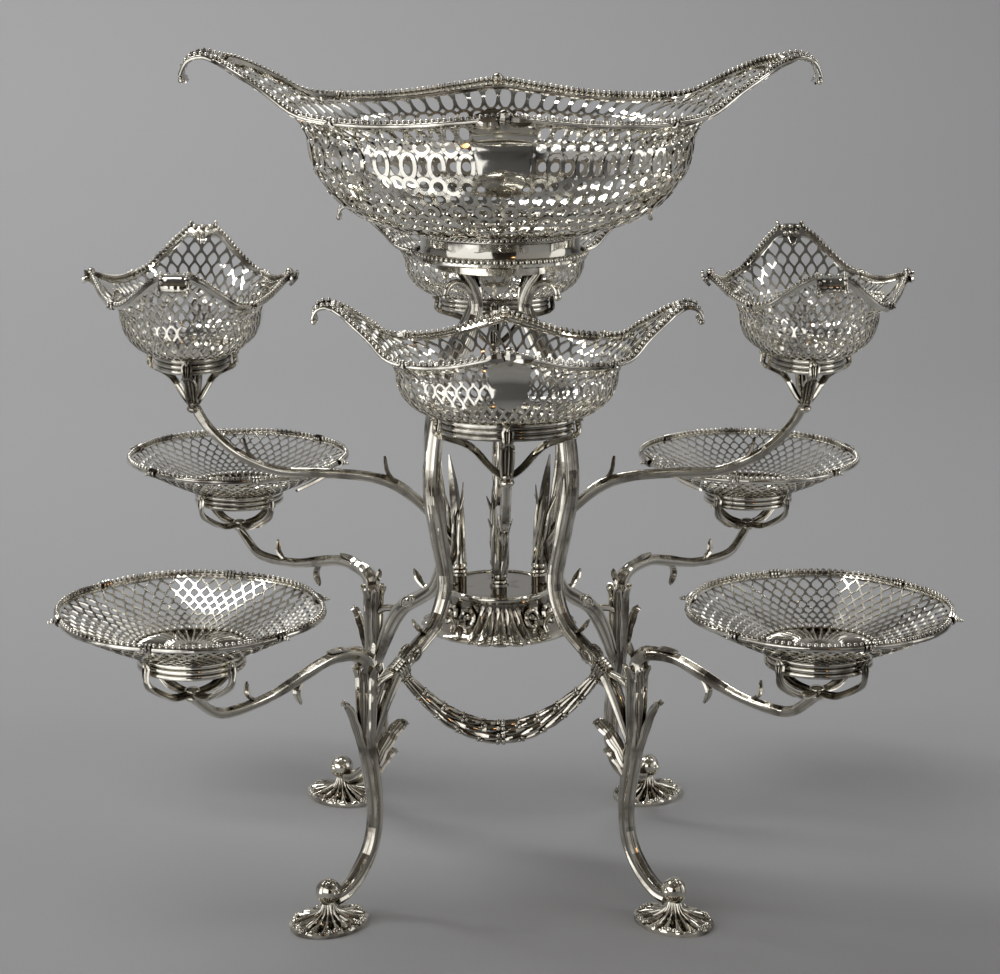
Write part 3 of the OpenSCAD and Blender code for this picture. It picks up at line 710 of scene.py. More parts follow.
def rim_knot(bm, p, r):
    """Ribbon knot where a handle meets the rim: two wraps, small balls and an outward leaf."""
    out = Vector((p.x, p.y, 0.0)).normalized()
    along = Vector((-out.y, out.x, 0.0))
    wraps(bm, p + UP * 0.3, along, 1.7 * r, 0.55 * r, 2, 2.0 * r)
    for k in (-1, 1):
        knob(bm, p + along * k * 2.4 * r + UP * 1.2 * r, (1.25 * r,) * 3)
    knob(bm, p + UP * 1.6 * r, (1.5 * r,) * 3)
    tip = [p + (out * x + UP * z) * r for x, z in ((0, 0), (2.6, -0.6), (4.2, -0.2))]
    leaf(bm, tip, 3.0 * r, along, 0.3, 0, 0.7 * r)


def rim_peak(bm, peak, side, r):
    """Small three-leaf spray on the middle of a long side."""
    out = Vector((0.0, side, 0.0))
    knob(bm, peak + UP * 1.0 * r - out * 0.6 * r, (1.5 * r, 1.3 * r, 1.3 * r))
    for lean in (-1, 0, 1):
        tip = peak + Vector((lean * 6.5, side * (1.6 - abs(lean)), 1.6 - 2.4 * abs(lean))) * r
        base = peak - UP * (3.0 - 2.4 * abs(lean)) * r - out * 0.8 * r
        leaf(bm, [base, mix(base, tip, 0.5) + out * 0.8 * r, tip], 3.2 * r,
             Vector((1, 0, 0)) if lean == 0 else UP, 0.35, 0, 0.7 * r)


def handle_strap(bm, form, side, end):
    """Moulded strap along one edge of a handle, from the knot to the crest."""
    wide = 4.6 * form["bead"]
    part = bmesh.new()
    for v in grid(part, 12, 24):
        t, across = (v.co.y + 1) / 2, (v.co.x + 1) / 2
        p = inside_edge(form, mix(form["knot"] - 0.5, 8.0, t), wide * across * min(1.0, 0.25 + 3 * t))
        ridge = 0.35 * math.cos(6 * math.pi * across) + 0.5
        v.co = (end * p.x, side * p.y, p.z + ridge)
    thicken(part, 0.8)
    join(bm, part)


def handle_end(bm, form, end):
    """Curled end of a handle: a ribbed leaf rolls over the crest between the two edge wires."""
    r, w = form["wire"], form["curl_w"]
    x, _, z = form["crest"]
    out, drop = curl_size(form)
    root = wall_point(form, 0.0, 0.9)
    path = smooth_path(in_plane([(end * p, q) for p, q in (
        (root.x, root.z + 0.6), (x - 0.5 * out, z - 0.42 * out), (x, z + 0.4),
        (x + 0.45 * out, z + 0.14 * drop), (x + 0.85 * out, z - 0.2 * drop), (x + out, z - 0.7 * drop),
        (x + 0.84 * out, z - 1.08 * drop))]), 4)
    strap(bm, path, lambda t: 0.92 * w * min(1.0, 0.18 + 2.0 * t), ACROSS,
          lambda s: 0.012 * math.cos(4 * math.pi * s) - 0.08 * s * s, 1.1, 20)
    for s in (-1, 1):
        knob(bm, Vector((end * (x + 0.98 * out), s * w, z - 0.95 * drop)), (1.6 * r,) * 3)
    for s in (-0.62, 0.0, 0.62):
        knob(bm, Vector((end * (x - 0.05 * out), s * w, z + 0.8)), (2.6 * r, 1.9 * r, 1.5 * r))
        knob(bm, Vector((end * (x - 0.4 * out), 0.7 * s * w, z - 0.25 * out)), (2.2 * r, 1.5 * r, 1.3 * r))


def oval_edge(form):
    """Rim wire with its bead row, knots, peaks, handle mouldings and curled ends."""
    bm = bmesh.new()
    r, b, knot_at = form["wire"], form["bead"], form["knot"]
    peak, knot = rim_point(form, 90.0), rim_point(form, knot_at)
    for side in (1, -1):
        path = edge_path(form, side)
        tube(bm, path, [r] * len(path), 10, UP, 0.85)
        inward_beads(bm, path, side, b, form["pitch"], r + 0.5 * b, 0.55 * b)
        inner = [wall_point(form, mix(knot_at, 180.0 - knot_at, i / 48), 0.94) for i in range(49)]
        tube(bm, [Vector((q.x, side * q.y, q.z + 0.4)) for q in inner], [0.8 * r] * len(inner), 8, UP)
        rim_peak(bm, Vector((0.0, side * peak.y, peak.z)), side, 1.8 * r)
        for end in (1, -1):
            rim_knot(bm, Vector((end * knot.x, side * knot.y, knot.z)), r)
            handle_strap(bm, form, side, end)
    for end in (1, -1):
        handle_end(bm, form, end)
    return finished(bm, "oval_edge")


def reed_ring(name, r, depth, inner, floor, oval=1.0):
    """Foot ring: three half-round reeds outside, hollow below, closed by a floor plate."""
    bm = bmesh.new()
    each = RING_H / 3
    pts = [(0.0, -floor), (inner, -floor), (inner, -RING_H)]
    for k in range(3):
        mid = -RING_H + each * (k + 0.5)
        pts += [(r - depth + depth * math.cos(a), mid + each / 2 * math.sin(a))
                for a in (math.radians(d) for d in (-80, -50, -20, 20, 50, 80))]
    pts += [(r - depth, 0.05), (inner - 1.0, 0.05), (0.0, 0.05)]
    lathe(bm, pts, 80, (0, 0, 0), oval)
    return finished(bm, name)


def bead_ring(bm, reach, z, radius, count, squash=1.0):
    for k in range(count):
        bead(bm, polar(reach, 2 * math.pi * k / count, z, squash), radius)


def bowl_ring():
    """Moulded oval foot with a bead row on its flange and one under the wall."""
    bm = bmesh.new()
    squash = 40.0 / 48.5
    lathe(bm, [(0, -1.4), (41, -1.4), (41, -17), (47.4, -17), (48.3, -16.2), (48.3, -14.6), (46.6, -13.4),
               (45.2, -12.9), (44.5, -12.0), (44.3, -8.0), (44.4, -4.4), (45.2, -3.8), (45.4, -3.0),
               (44.6, -0.8), (43.6, 0.05), (0, 0.05)], 96, (0, 0, 0), squash)
    bead_ring(bm, 47.6, -13.6, 1.6, 84, squash)
    bead_ring(bm, 45.3, -1.9, 1.25, 96, squash)
    return finished(bm, "bowl_ring")


# Round dishes

DISH_CELLS = 58
DISH_R = 67.0
DISH_FLOOR_R = 30.0
DISH_ROWS = [0.02, 0.10, 0.18, 0.27, 0.37, 0.475, 0.585, 0.70, 0.825, 0.97]
KNOTS = 6


def dish_lobe(a):
    """Lobed outline of a round dish: the knots sit in its shallow cusps."""
    return 1.1 * abs(math.cos(KNOTS / 2 * a)) - 0.7


def dish_point(x, v):
    a = 2 * math.pi * x / DISH_CELLS
    r = mix(DISH_FLOOR_R, DISH_R, v) + dish_lobe(a) * v * v * 1.6
    return polar(r, a, 0.7 + 19.0 * (0.8 * v + 0.2 * v * v))


def dish_floor(bm):
    """Sunburst of forty rays inside a bead row."""
    sun = bmesh.new()
    lathe(sun, [(3.0 * k, 1.3) for k in range(11)] + [(30.5, 1.3), (30.5, 0.1), (0, 0.1)], 240)
    for v in sun.verts:
        r = math.hypot(v.co.x, v.co.y)
        if v.co.z > 1.0 and 11.5 < r < 29.5:
            ray = math.cos(40 * math.atan2(v.co.y, v.co.x))
            v.co.z += 1.1 * ray * math.sin(math.pi * min((r - 11.0) / 17.0, 0.6))
    join(bm, sun)
    bead_ring(bm, 29.6, 2.1, 1.25, 47)


def dish_wall():
    bm = ogee_bars(DISH_CELLS, DISH_ROWS,
                   lambda v: 1.15 * DISH_CELLS / (2 * math.pi * mix(DISH_FLOOR_R, DISH_R, v)), 4)
    raise_sheet(bm, dish_point, SHEET)
    bands = bmesh.new()
    for low, high in ((0.0, 0.04), (0.965, 1.0)):
        plate(bands, 0.0, DISH_CELLS, 120, 2, lambda s: low, lambda s: high)
    raise_sheet(bands, dish_point, PLATE)
    bmesh.ops.remove_doubles(bands, verts=bands.verts, dist=0.01)
    join(bm, bands)
    dish_floor(bm)
    return finished(bm, "dish_wall")


def dish_edge():
    """Rim wire with beads between six wrapped knots."""
    bm = bmesh.new()
    steps = 144
    rim = [dish_point(DISH_CELLS * i / steps, 1.0) for i in range(steps + 1)]
    path = [p * (1.0 + 1.0 / DISH_R) + UP * 0.4 for p in rim]
    tube(bm, path, [1.3] * len(path), 10, UP, 0.85)
    knot_turns = [math.pi / KNOTS + 2 * math.pi * k / KNOTS for k in range(KNOTS)]
    for p in even_points(path, 3.3):
        a = math.atan2(p.y, p.x)
        gap = min(abs((a - k + math.pi) % (2 * math.pi) - math.pi) for k in knot_turns)
        if gap * DISH_R > 3.4:
            bead(bm, p + UP * 1.7 - p.normalized() * 0.8, 1.36)
    for k in knot_turns:
        out = polar(1.0, k)
        p = dish_point(DISH_CELLS * k / (2 * math.pi), 1.0) + out + UP * 1.0
        wraps(bm, p, Vector((-out.y, out.x, 0.0)), 2.1, 0.7, 3, 1.9)
        knob(bm, p + out * 3.6, (1.3, 1.3, 1.3))
        knob(bm, p + out * 5.3 - UP * 0.3, (0.9, 0.9, 0.9))
    return finished(bm, "dish_edge")


# Legs, feet, pan and garland

def leg_shape():
    """Forked branch: an upright from the crown to the knee, and a lower leg from the socket to the volute."""
    bm = bmesh.new()
    pan, crown, knee, foot = PAN_TOP, CROWN_LOW, LOW_SOCKET, FOOT_REACH
    branch(bm, [(CROWN_R - 6, crown + 0.4, 0.55), (24, crown - 9, 0.7), (19.5, crown - 21, 0.74),
                (25, crown - 34, 0.8), (36, crown - 50, 0.84), (47, crown - 69, 0.9), (54, pan + 87, 0.97),
                (55, pan + 63, 1.0), (50, pan + 38, 0.97), (44.5, pan + 10, 0.9), (52, pan - 11, 0.86),
                (66, pan - 22, 0.88), (82, pan - 32, 0.9), (93, 119, 0.86), (knee - 4, 96, 0.6)],
           LEG_R, 28, 7)
    branch(bm, [(knee, LOW_SEAT, 1.15), (knee, 121, 1.0), (knee, 112, 0.92), (knee - 1, 97, 1.05),
                (knee - 4, 80, 1.02), (knee - 6.5, 62, 0.92), (knee - 6, 47, 0.9), (knee - 2, 34, 0.92),
                (knee + 7, 22.5, 0.92), (foot - 13, 15.6, 0.9), (foot - 5, 13.6, 0.82)], LEG_R, 28, 7)
    volute(bm)
    knee_leaves(bm)
    branch_trim(bm)
    curl = [(25, 12), (31, 7), (38, 5.5), (43, 8), (44.5, 11.5)]
    branch(bm, [(x, crown - down, 0.45 * LEG_R - 0.1 * k) for k, (x, down) in enumerate(curl)],
           1.0, 10, 0, 0.0, 4)
    knob(bm, Vector((44.5, 0, crown - 12.5)), (2.4, 2.4, 2.4))
    return finished(bm, "leg")


def volute(bm):
    """Scroll at the foot: a ball with a rolled ridge round it and a boss on each side."""
    c = Vector((FOOT_REACH, 0.0, VOLUTE_Z))
    knob(bm, c, (6.9, 7.4, 6.9))
    turns = [c + Vector((math.cos(math.radians(d)), 0, math.sin(math.radians(d)))) * mix(6.6, 4.6, k / 12)
             for k, d in enumerate(range(-115, 246, 30))]
    path = smooth_path(turns, 3)
    tube(bm, path, [mix(2.6, 1.6, k / len(path)) for k in range(len(path))], 10, ACROSS, 0.8)
    for side in (-1, 1):
        knob(bm, c + ACROSS * side * 6.2, (2.7, 2.2, 2.7))


def knee_leaves(bm):
    """Leaves that spring from the knee and a calyx of leaves below the arm socket."""
    s = LOW_SOCKET
    for width, points in ((8.5, [(3, 91), (7, 102), (11, 113), (15, 121), (18, 123)]),
                          (13.0, [(-4, 82), (-11, 91), (-19, 99), (-27, 104), (-31, 103)]),
                          (9.0, [(-5, 77), (-12, 84), (-19, 89), (-23, 88.5)])):
        acanthus(bm, in_plane([(s + x, z) for x, z in points]), width)
    calyx = ((4.4, 94), (5.4, 108), (6.0, 121), (6.2, 131), (6.6, 137), (8.2, 141))
    stem = Vector((s - 0.5, 0, 0))
    for k in range(6):
        a = math.radians(60 * k + 30)
        acanthus(bm, [stem + polar(r, a, z) for r, z in calyx], 6.4, polar(1.0, a + math.pi / 2))
    wire(bm, in_plane([(82, 133), (90, 132), (98, 130), (s - 2, 125)]), 2.2, 10)


def branch_trim(bm):
    """Leaf buds and spiral bosses on the upper branch, and the scroll that holds the pan."""
    pan = PAN_TOP
    tilt = Matrix.Rotation(math.radians(36), 4, "Y")
    for side in (-1, 1):
        centre = Vector((73, side * 3.6, 140.5))
        knob(bm, centre, (6.0, 1.6, 3.6), tilt)
        spiral = []
        for k in range(15):
            a, r = math.radians(40 * k), mix(1.0, 0.28, k / 14)
            spot = Vector((6.2 * r * math.cos(a), side * (0.6 + 0.08 * k), 3.8 * r * math.sin(a)))
            spiral.append(centre + tilt @ spot)
        wire(bm, spiral, 0.7, 6, Vector((0, side, 0)), 3)
    sprouts(bm, ((5.5, 0.4, 0, 1.2, [(46, pan + 16), (39, pan + 23), (37, pan + 33)]),
                 (5.0, 0.4, 0, 1.2, [(53, pan + 50), (59, pan + 62), (60, pan + 76)]),
                 (6.0, 0.4, 2, 1.2, [(60, pan - 17), (67, pan - 13), (72, pan - 6)]),
                 (8.0, 0.35, 3, 1.4, [(86, pan - 38), (93, pan - 50), (99, pan - 66)])))
    scroll = ((53, 11), (47, 8), (41, 10), (37, 16), (39, 20.5))
    wire(bm, in_plane([(x, pan - down) for x, down in scroll]), 1.5, 10)


def foot_shape():
    """Oval shell foot: flutes run from the neck to a rolled rim with small knops."""
    bm = bmesh.new()
    profile = [(0, FOOT_TOP), (3.4, FOOT_TOP), (4.0, 11.0), (4.6, 9.0), (6.0, 6.8), (8.6, 5.0), (12.0, 3.9),
               (16.0, 3.3), (19.5, 3.3), (21.6, 3.4), (22.8, 2.6), (23.0, 1.2), (22.6, 0.0), (0, 0.0)]
    lathe(bm, [(1.05 * r, z) for r, z in profile], 144)
    for v in bm.verts:
        a, r, z = math.atan2(v.co.y, v.co.x), math.hypot(v.co.x, v.co.y), v.co.z
        if z > 2.7 and r > 0.1:
            ray = math.cos(16 * a)
            v.co.z += 1.5 * ray * min(1.0, max(0.0, (r - 4.2) / 5.0)) * min(1.0, max(0.2, (23.0 - r) / 4.0))
            scale = 1 + (0.07 * ray if r < 9 else 0.015 * ray)
            v.co.x *= scale
            v.co.y *= scale
        v.co.y *= 37.0 / 46.0
    for mid in (0, 62, 118, 180, 242, 298):
        for k in (-1, 0, 1):
            a = math.radians(mid + 8.5 * k)
            knob(bm, Vector((21.6 * math.cos(a), 17.2 * math.sin(a), 3.0)), (1.7, 1.7, 1.5 if k else 2.0))
    return finished(bm, "foot")


def pan_shape():
    """Drum with a moulded rim; the flared skirt is fluted into four palmettes between scrolls."""
    bm = bmesh.new()
    t, r = PAN_TOP, PAN_R
    rim = [(-8, 0.9), (-4, 0.9), (-2.6, 0.9), (-2, 0.4), (-1.4, 0), (-0.2, 0), (0.8, 0.8), (1, 1.7),
           (0.6, 2.7)]
    skirt = [(0.2, 3.4), (-0.4, 5), (-0.5, 7), (-0.2, 9), (0.6, 11), (1.6, 13), (3, 15), (4.8, 17), (6.8, 19),
             (9.4, 21), (12.2, 22.4), (13, 23.4), (12.8, 24.5)]
    inside = [(10, 24.5), (5, 21.5), (-0.5, 16.5), (-3, 9), (-3, 5.5)]
    drum = [(r + out, t - down) for out, down in rim + skirt + inside]
    lathe(bm, [(0, t - 0.9)] + drum + [(0, t - 5.5)], 288)
    for v in bm.verts:
        a, reach, down = math.degrees(math.atan2(v.co.y, v.co.x)), math.hypot(v.co.x, v.co.y), t - v.co.z
        off = (a + 45) % 90 - 45
        if abs(off) < 26 and 5.0 < down < 24.6 and reach > r - 1.0 + max(0.0, (down - 9) * 0.25):
            fade = min(1.0, (down - 5.0) / 5.0) * min(1.0, (26 - abs(off)) / 3.0)
            spread = mix(0.7, 1.15, (down - 5.0) / 19.5)
            ridge = abs(math.cos(math.pi * off / (12.5 * spread))) ** 0.6 - 0.5
            grow = 1 + 0.075 * ridge * fade
            v.co.x *= grow
            v.co.y *= grow
    for base in (0, 90, 180, 270):
        for side in (-1, 1):
            pan_scroll(bm, base, side)
    return finished(bm, "pan")


def pan_scroll(bm, base, side):
    """Spiral wire beside a palmette."""
    pts = []
    for k in range(12):
        turn, size = math.radians(42 * k), mix(1, 0.25, k / 11)
        a = math.radians(base + side * (33 + 8.5 * math.cos(turn) * size))
        z = PAN_TOP - 13.5 + 6.2 * math.sin(turn) * size
        pts.append(polar(PAN_R + 1.8 + max(0.0, PAN_TOP - 10 - z) * 0.45, a, z))
    wire(bm, pts, 1.4, 8, UP + Vector((0.3, 0.2, 0)), 3)
    knob(bm, pts[-1], (2.0, 2.0, 2.0))


def garland_shape():
    """Bundles of long husks between bud clusters, tied to the legs with cord."""
    bm = bmesh.new()
    tie = polar(TIE_REACH, -math.radians(LEG_AZIMUTH))

    def at(f):
        return Vector((tie.x * f, tie.y, PAN_TOP - 32 - SWAG_DROP * (1 - f * f)))

    def girth(f):
        return 2.0 + 3.9 * (1 - f * f)

    def around(f, a, r):
        run = (at(min(f + 0.02, 1.0)) - at(max(f - 0.02, -1.0))).normalized()
        return at(f) + (ACROSS * math.cos(a) + run.cross(ACROSS) * math.sin(a)) * r

    def husk(end, near, far, a):
        line, radii = [], []
        for i in range(8):
            t = i / 7
            f = end * mix(far + 0.06, near, t)
            swell = math.sin(math.pi * (0.12 + 0.8 * t))
            line.append(around(f, a + 0.25 * t * end, girth(f) * (0.52 + 0.38 * t + 0.05 * swell)))
            radii.append(0.34 * girth(f) * swell + 0.25)
        tube(bm, line, radii, 8, UP + ACROSS * 0.3, 0.75)
    steps = [i / 20 - 1 for i in range(41)]
    tube(bm, [at(f) for f in steps], [0.62 * girth(f) for f in steps], 12, ACROSS, 1.0)
    stops = [0.0, 0.2, 0.4, 0.6, 0.78, 0.94]
    for end in (-1, 1):
        for k, (near, far) in enumerate(zip(stops, stops[1:])):
            for j in range(7):
                husk(end, near, far, math.radians(360 / 7 * (j + 0.5 * (k % 2))))
            for j in range(4):
                a = math.radians(90 * j + 45)
                for turn in (-0.22, 0.22):
                    bead(bm, around(end * far, a + turn, girth(far) * 1.04), 1.15)
                bead(bm, around(end * (far - 0.03), a, girth(far) * 1.08), 1.15)
    for j in range(10):
        for f in (-0.025, 0.025):
            bead(bm, around(f, 2 * math.pi * j / 10, 1.02 * girth(0)), 1.35)
    for end in (-1, 1):
        run = Vector((end * tie.x, tie.y, -0.6 * TIE_REACH)).normalized()
        wraps(bm, at(end), run, 4.9, 1.1, 4, 2.1)
        wraps(bm, at(end * 0.95), (at(end * 0.88) - at(end)).normalized(), 3.0, 0.8, 3, 1.6)
    return finished(bm, "garland")


# Arms and cradles

def plug(bm, reach, top):
    """Plug pin and moulded knop at the root of an arm."""
    profile = [(0, -PIN_LEN), (PIN_R - 0.3, -PIN_LEN), (PIN_R, 0.5 - PIN_LEN), (PIN_R, 0), (4.2, 0),
               (4.5, 0.6), (4.2, 1.4), (3.2, 1.9), (3.6, 2.8), (4.4, 3.8), (4.2, 5.0), (3.0, 6.0), (0, 6.2)]
    lathe(bm, profile, 32, (reach, 0, top + FIT_GAP))


def lower_arm_shape():
    bm = bmesh.new()
    s, e, z, low = LOW_SOCKET, LOW_REACH, LOW_COLLAR, LOW_TOP
    plug(bm, s, low)
    branch(bm, [(s, low + 1, 1.85), (s + 1.6, low + 8, 1.7), (s + 10, z - 13, 1.4), (s + 28, z - 12, 1.1),
                (s + 46, z - 16, 1.15), (s + 70, z - 22, 0.95), (s + 95, z - 24, 1.0), (e - 16, z - 22, 0.98),
                (e - 5, z - 14, 0.95), (e - 1.2, z - 10, 0.95), (e, z - 6.5, 1.0)], ARM_R)
    sprouts(bm, ((6.5, 0.4, 0, 1.3, [(s + 4, low + 4), (s - 3, low + 9), (s - 6, low + 16)]),
                 (6.5, -0.4, 0, 1.2, [(s + 6, low + 10), (s + 18, z - 9.0), (s + 29, z - 8.6)]),
                 (6.5, 0.4, 0, 1.3, [(s + 44, z - 16), (s + 51, z - 24), (s + 48, z - 32)]),
                 (5.0, 0.4, 0, 1.3, [(e - 44, z - 23), (e - 37, z - 18), (e - 37, z - 10)])))
    return finished(bm, "lower_arm")


def stem_bark(bm, s, t):
    """Long stems that wind up the root of a tall arm and part into leaf tips."""
    for k in range(6):
        first, top = 60.0 * k + 20.0, t + 38 + 7 * (k % 3)
        line, radii = [], []
        for i in range(13):
            u = i / 12
            a = math.radians(first + 70 * u)
            away = mix(3.3, 4.3, u) + (2.6 * max(0.0, u - 0.75) / 0.25)
            z = mix(t + 5, top, u)
            line.append(Vector((s + 4 * (z - t) / 52 + away * math.cos(a), away * math.sin(a), z)))
            radii.append(1.7 * (1 - 0.8 * max(0.0, u - 0.6) / 0.4) * min(1.0, 0.6 + 3 * u))
        tube(bm, line, radii, 8, ACROSS + UP * 0.2, 0.8)


def upper_arm_shape():
    bm = bmesh.new()
    s, e, z, t = UP_SOCKET, UP_REACH, UP_COLLAR, UP_TOP
    span = e - s
    plug(bm, s, t)
    branch(bm, [(s, t + 3, 1.35), (s + 0.5, t + 12, 1.3), (s + 2, t + 32, 1.15), (s + 4, t + 52, 0.85),
                (s + 6, t + 69, 0.15)], ARM_R, 15, 5, 0.12, 6)
    branch(bm, [(s + 0.5, t + 10, 0.9), (s + 4, t + 17, 1.0), (s + 11, t + 27, 1.0), (s + 21, z - 58, 1.0),
                (s + 36, z - 46, 1.15), (s + 52, z - 41, 1.0), (s + 0.5 * span, z - 39, 0.98),
                (s + 0.67 * span, z - 38, 0.93), (e - 32, z - 32, 0.98), (e - 18, z - 23, 0.93),
                (e - 7, z - 11, 0.95), (e - 1, z - 1, 1.0)], ARM_R)
    spur = [(s + part * span, z - down) for part, down in ((0.48, 39), (0.55, 45), (0.62, 50))]
    sprouts(bm, ((6.5, 0.4, 0, 1.3, [(s + 33, z - 48), (s + 41, z - 40), (s + 43, z - 29)]),
                 (6.5, 0.4, 0, 1.3, spur),
                 (5.0, 0.4, 0, 1.2, [(e - 39, z - 35), (e - 30, z - 28), (e - 27, z - 18)])))
    stem_bark(bm, s, t)
    return finished(bm, "upper_arm")


def prong(bm, ring, rise, low, sag):
    """One leaf strap: out from the collar, under the foot ring and up outside it; sag bows it down."""
    z, g = rise - FIT_GAP - 1.1, ring + FIT_GAP + 1.4
    path = smooth_path(in_plane([
        (1.6, low), (0.25 * ring, mix(low, z, mix(0.26, 0.0, sag))),
        (0.55 * ring, mix(low, z, mix(0.75, 0.1, sag))), (ring - 2, z - mix(0.8, 6.0, sag)),
        (ring + mix(0.6, 1.8, sag), z - mix(0.3, 1.6, sag)),
        (g + 0.9, z + 1.6), (g + 0.8, z + 4.4), (g + 0.4, z + 7.0), (g + 1.4, z + 9.0)]), 4)
    marks = [(0.0, 1.9), (0.2, 3.0), (0.4, 2.7), (0.56, 1.4), (0.7, 1.9), (0.86, 2.2), (0.95, 1.5),
             (1.0, 0.4)]

    def half(t):
        i = next(k for k in range(len(marks) - 1) if t <= marks[k + 1][0] + 1e-9)
        (t0, w0), (t1, w1) = marks[i], marks[i + 1]
        return mix(w0, w1, (t - t0) / (t1 - t0))
    strap(bm, path, half, ACROSS, lambda s: 0.16 * math.cos(3 * math.pi * s) - 0.3 * s * s, 1.1, 10)
    knob(bm, Vector((g + 1.8, 0, z + 8.2)), (1.0, 1.0, 1.0))


def cradle_shape(wide, near, rise, low, sag):
    """Collar with four leaf prongs round a foot ring."""
    bm = bmesh.new()
    collar = [(0, -4.0), (2.6, -4.0), (3.3, -3.4), (3.9, -2.6), (4.0, -1.8), (3.7, -1.1), (2.9, -0.5),
              (2.9, 0.1), (3.6, 0.5), (4.1, 1.2), (4.1, 1.9), (3.5, 2.7), (2.4, 3.2), (0, 3.4)]
    lathe(bm, collar, 32, (0, 0, low))
    for turn, ring in ((0, near), (180, near), (90, wide), (270, wide)):
        part = bmesh.new()
        prong(part, ring, rise, low, sag)
        turned = Matrix.Rotation(math.radians(turn), 3, "Z")
        bmesh.ops.rotate(part, cent=(0, 0, 0), matrix=turned, verts=part.verts)
        join(bm, part)
    return finished(bm, "cradle")


# Pieces in their places

def dress_stand():
    leg, foot = leg_shape(), foot_shape()
    for k, turn in LEG_TURNS.items():
        put(leg, f"branch_leg_{k}", "stand", f"leg_{k}", CAST_SILVER, at_place(turn))
        put(foot, f"shell_foot_{k}", "stand", f"foot_{k}", CAST_SILVER, at_place(turn, FOOT_REACH))
    put(pan_shape(), "palmette_pan", "stand", "pan", CAST_SILVER)
    put(garland_shape(), "husk_garland", "stand", "swag", CAST_SILVER)
    for node in ("pan_sockets", "leg_sockets", "crown_ring"):
        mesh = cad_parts[node].data
        mesh.materials.clear()
        mesh.materials.append(CAST_SILVER)


def dress_round(turns, pieces):
    """Puts a set of shapes at every turn; the names of pieces, bodies and nodes end in the turn's key."""
    for k, turn in turns.items():
        for shape, name, body, node, finish, place in pieces:
            put(shape, f"{name}_{k}", f"{body}_{k}", f"{node}_{k}", finish, at_place(turn, *place))


def dress_lower():
    dish = (LOW_REACH, DISH_Z)
    dress_round(LEG_TURNS, [
        (lower_arm_shape(), "leafed_branch", "lower_branch", "lower_arm", CAST_SILVER, ()),
        (cradle_shape(DISH_FOOT_R, DISH_FOOT_R, rise=7.6, low=-7.5, sag=1.0),
         "dish_cradle", "lower_branch", "lower_cradle", CAST_SILVER, (LOW_REACH, LOW_COLLAR)),
        (dish_wall(), "pierced_dish", "round_dish", "dish", SHEET_SILVER, dish),
        (dish_edge(), "dish_bead_edge", "round_dish", "dish_rim", BEAD_SILVER, dish),
        (reed_ring("dish_ring", DISH_FOOT_R, depth=1.4, inner=24.6, floor=0.4),
         "dish_reed_ring", "round_dish", "dish_foot", BEAD_SILVER, dish)])


def dress_upper():
    boat = (UP_REACH, BOAT_Z, 90.0)
    wide, near = BOAT_FOOT
    dress_round(ARM_TURNS, [
        (upper_arm_shape(), "tall_branch", "upper_branch", "upper_arm", CAST_SILVER, ()),
        (cradle_shape(wide, near, rise=24.2, low=0.4, sag=0.0),
         "boat_cradle", "upper_branch", "upper_cradle", CAST_SILVER, (UP_REACH, UP_COLLAR)),
        (boat_wall(), "pierced_boat", "boat_basket", "boat", SHEET_SILVER, boat),
        (oval_edge(BOAT), "boat_bead_edge", "boat_basket", "boat_rim", BEAD_SILVER, boat),
        (reed_ring("boat_ring", wide, depth=1.5, inner=30.6, floor=1.2, oval=near / wide),
         "boat_reed_ring", "boat_basket", "boat_foot", BEAD_SILVER, boat)])


def dress_basket():
    place = at_place(0.0, 0.0, BOWL_Z)
    put(bowl_wall(), "pierced_basket", "large_basket", "basket", SHEET_SILVER, place)
    put(oval_edge(BOWL), "basket_bead_edge", "large_basket", "basket_rim", BEAD_SILVER, place)
    put(bowl_ring(), "basket_bead_foot", "large_basket", "basket_foot", BEAD_SILVER, place)


# Studio: each lamp has a name, a place, a target, a size and a power
LAMPS = (
    ("left_box", (-1.2, -1.35, 0.62), (0, 0, 0.45), (2.2, 1.25), 13.0),
    ("left_card", (-0.72, -0.95, 0.02), (-0.72, -0.95, 1.0), (1.15, 1.35), 5.0),
    ("right_fill", (1.15, -1.3, 0.6), (0, 0, 0.45), (1.5, 1.2), 1.9),
    ("right_box", (1.75, -0.3, 0.6), (0, 0, 0.3), (0.9, 1.2), 4.4),
    ("ceiling_left", (-1.1, 0.1, 2.1), (0, 0, 0.2), (0.5, 0.7), 4.2),
    ("ceiling_right", (1.1, 0.1, 2.1), (0, 0, 0.2), (0.5, 0.7), 2.8),
    ("backdrop_box", (-1.2, 0.9, 2.5), (-0.7, 2.3, 0.9), (2.4, 0.5), 53.0))


def grey_paper():
    """Pale grey paper with painted shade that darkens it towards the camera."""
    mat, tree, shader = material("grey_paper")
    shader.inputs["Roughness"].default_value = 0.9
    shader.inputs["Specular IOR Level"].default_value = 0.1
    # Painted shade: the colour falls from pale grey to near black towards the camera.
    near = mapped(tree, axes_of(tree, "Object")["Y"], (-0.7, -0.17), (0.0, 1.0))
    tone = blended(tree, near, (0.12, 0.12, 0.123), (0.405, 0.407, 0.415))
    tree.links.new(tone, shader.inputs["Base Color"])
    return mat


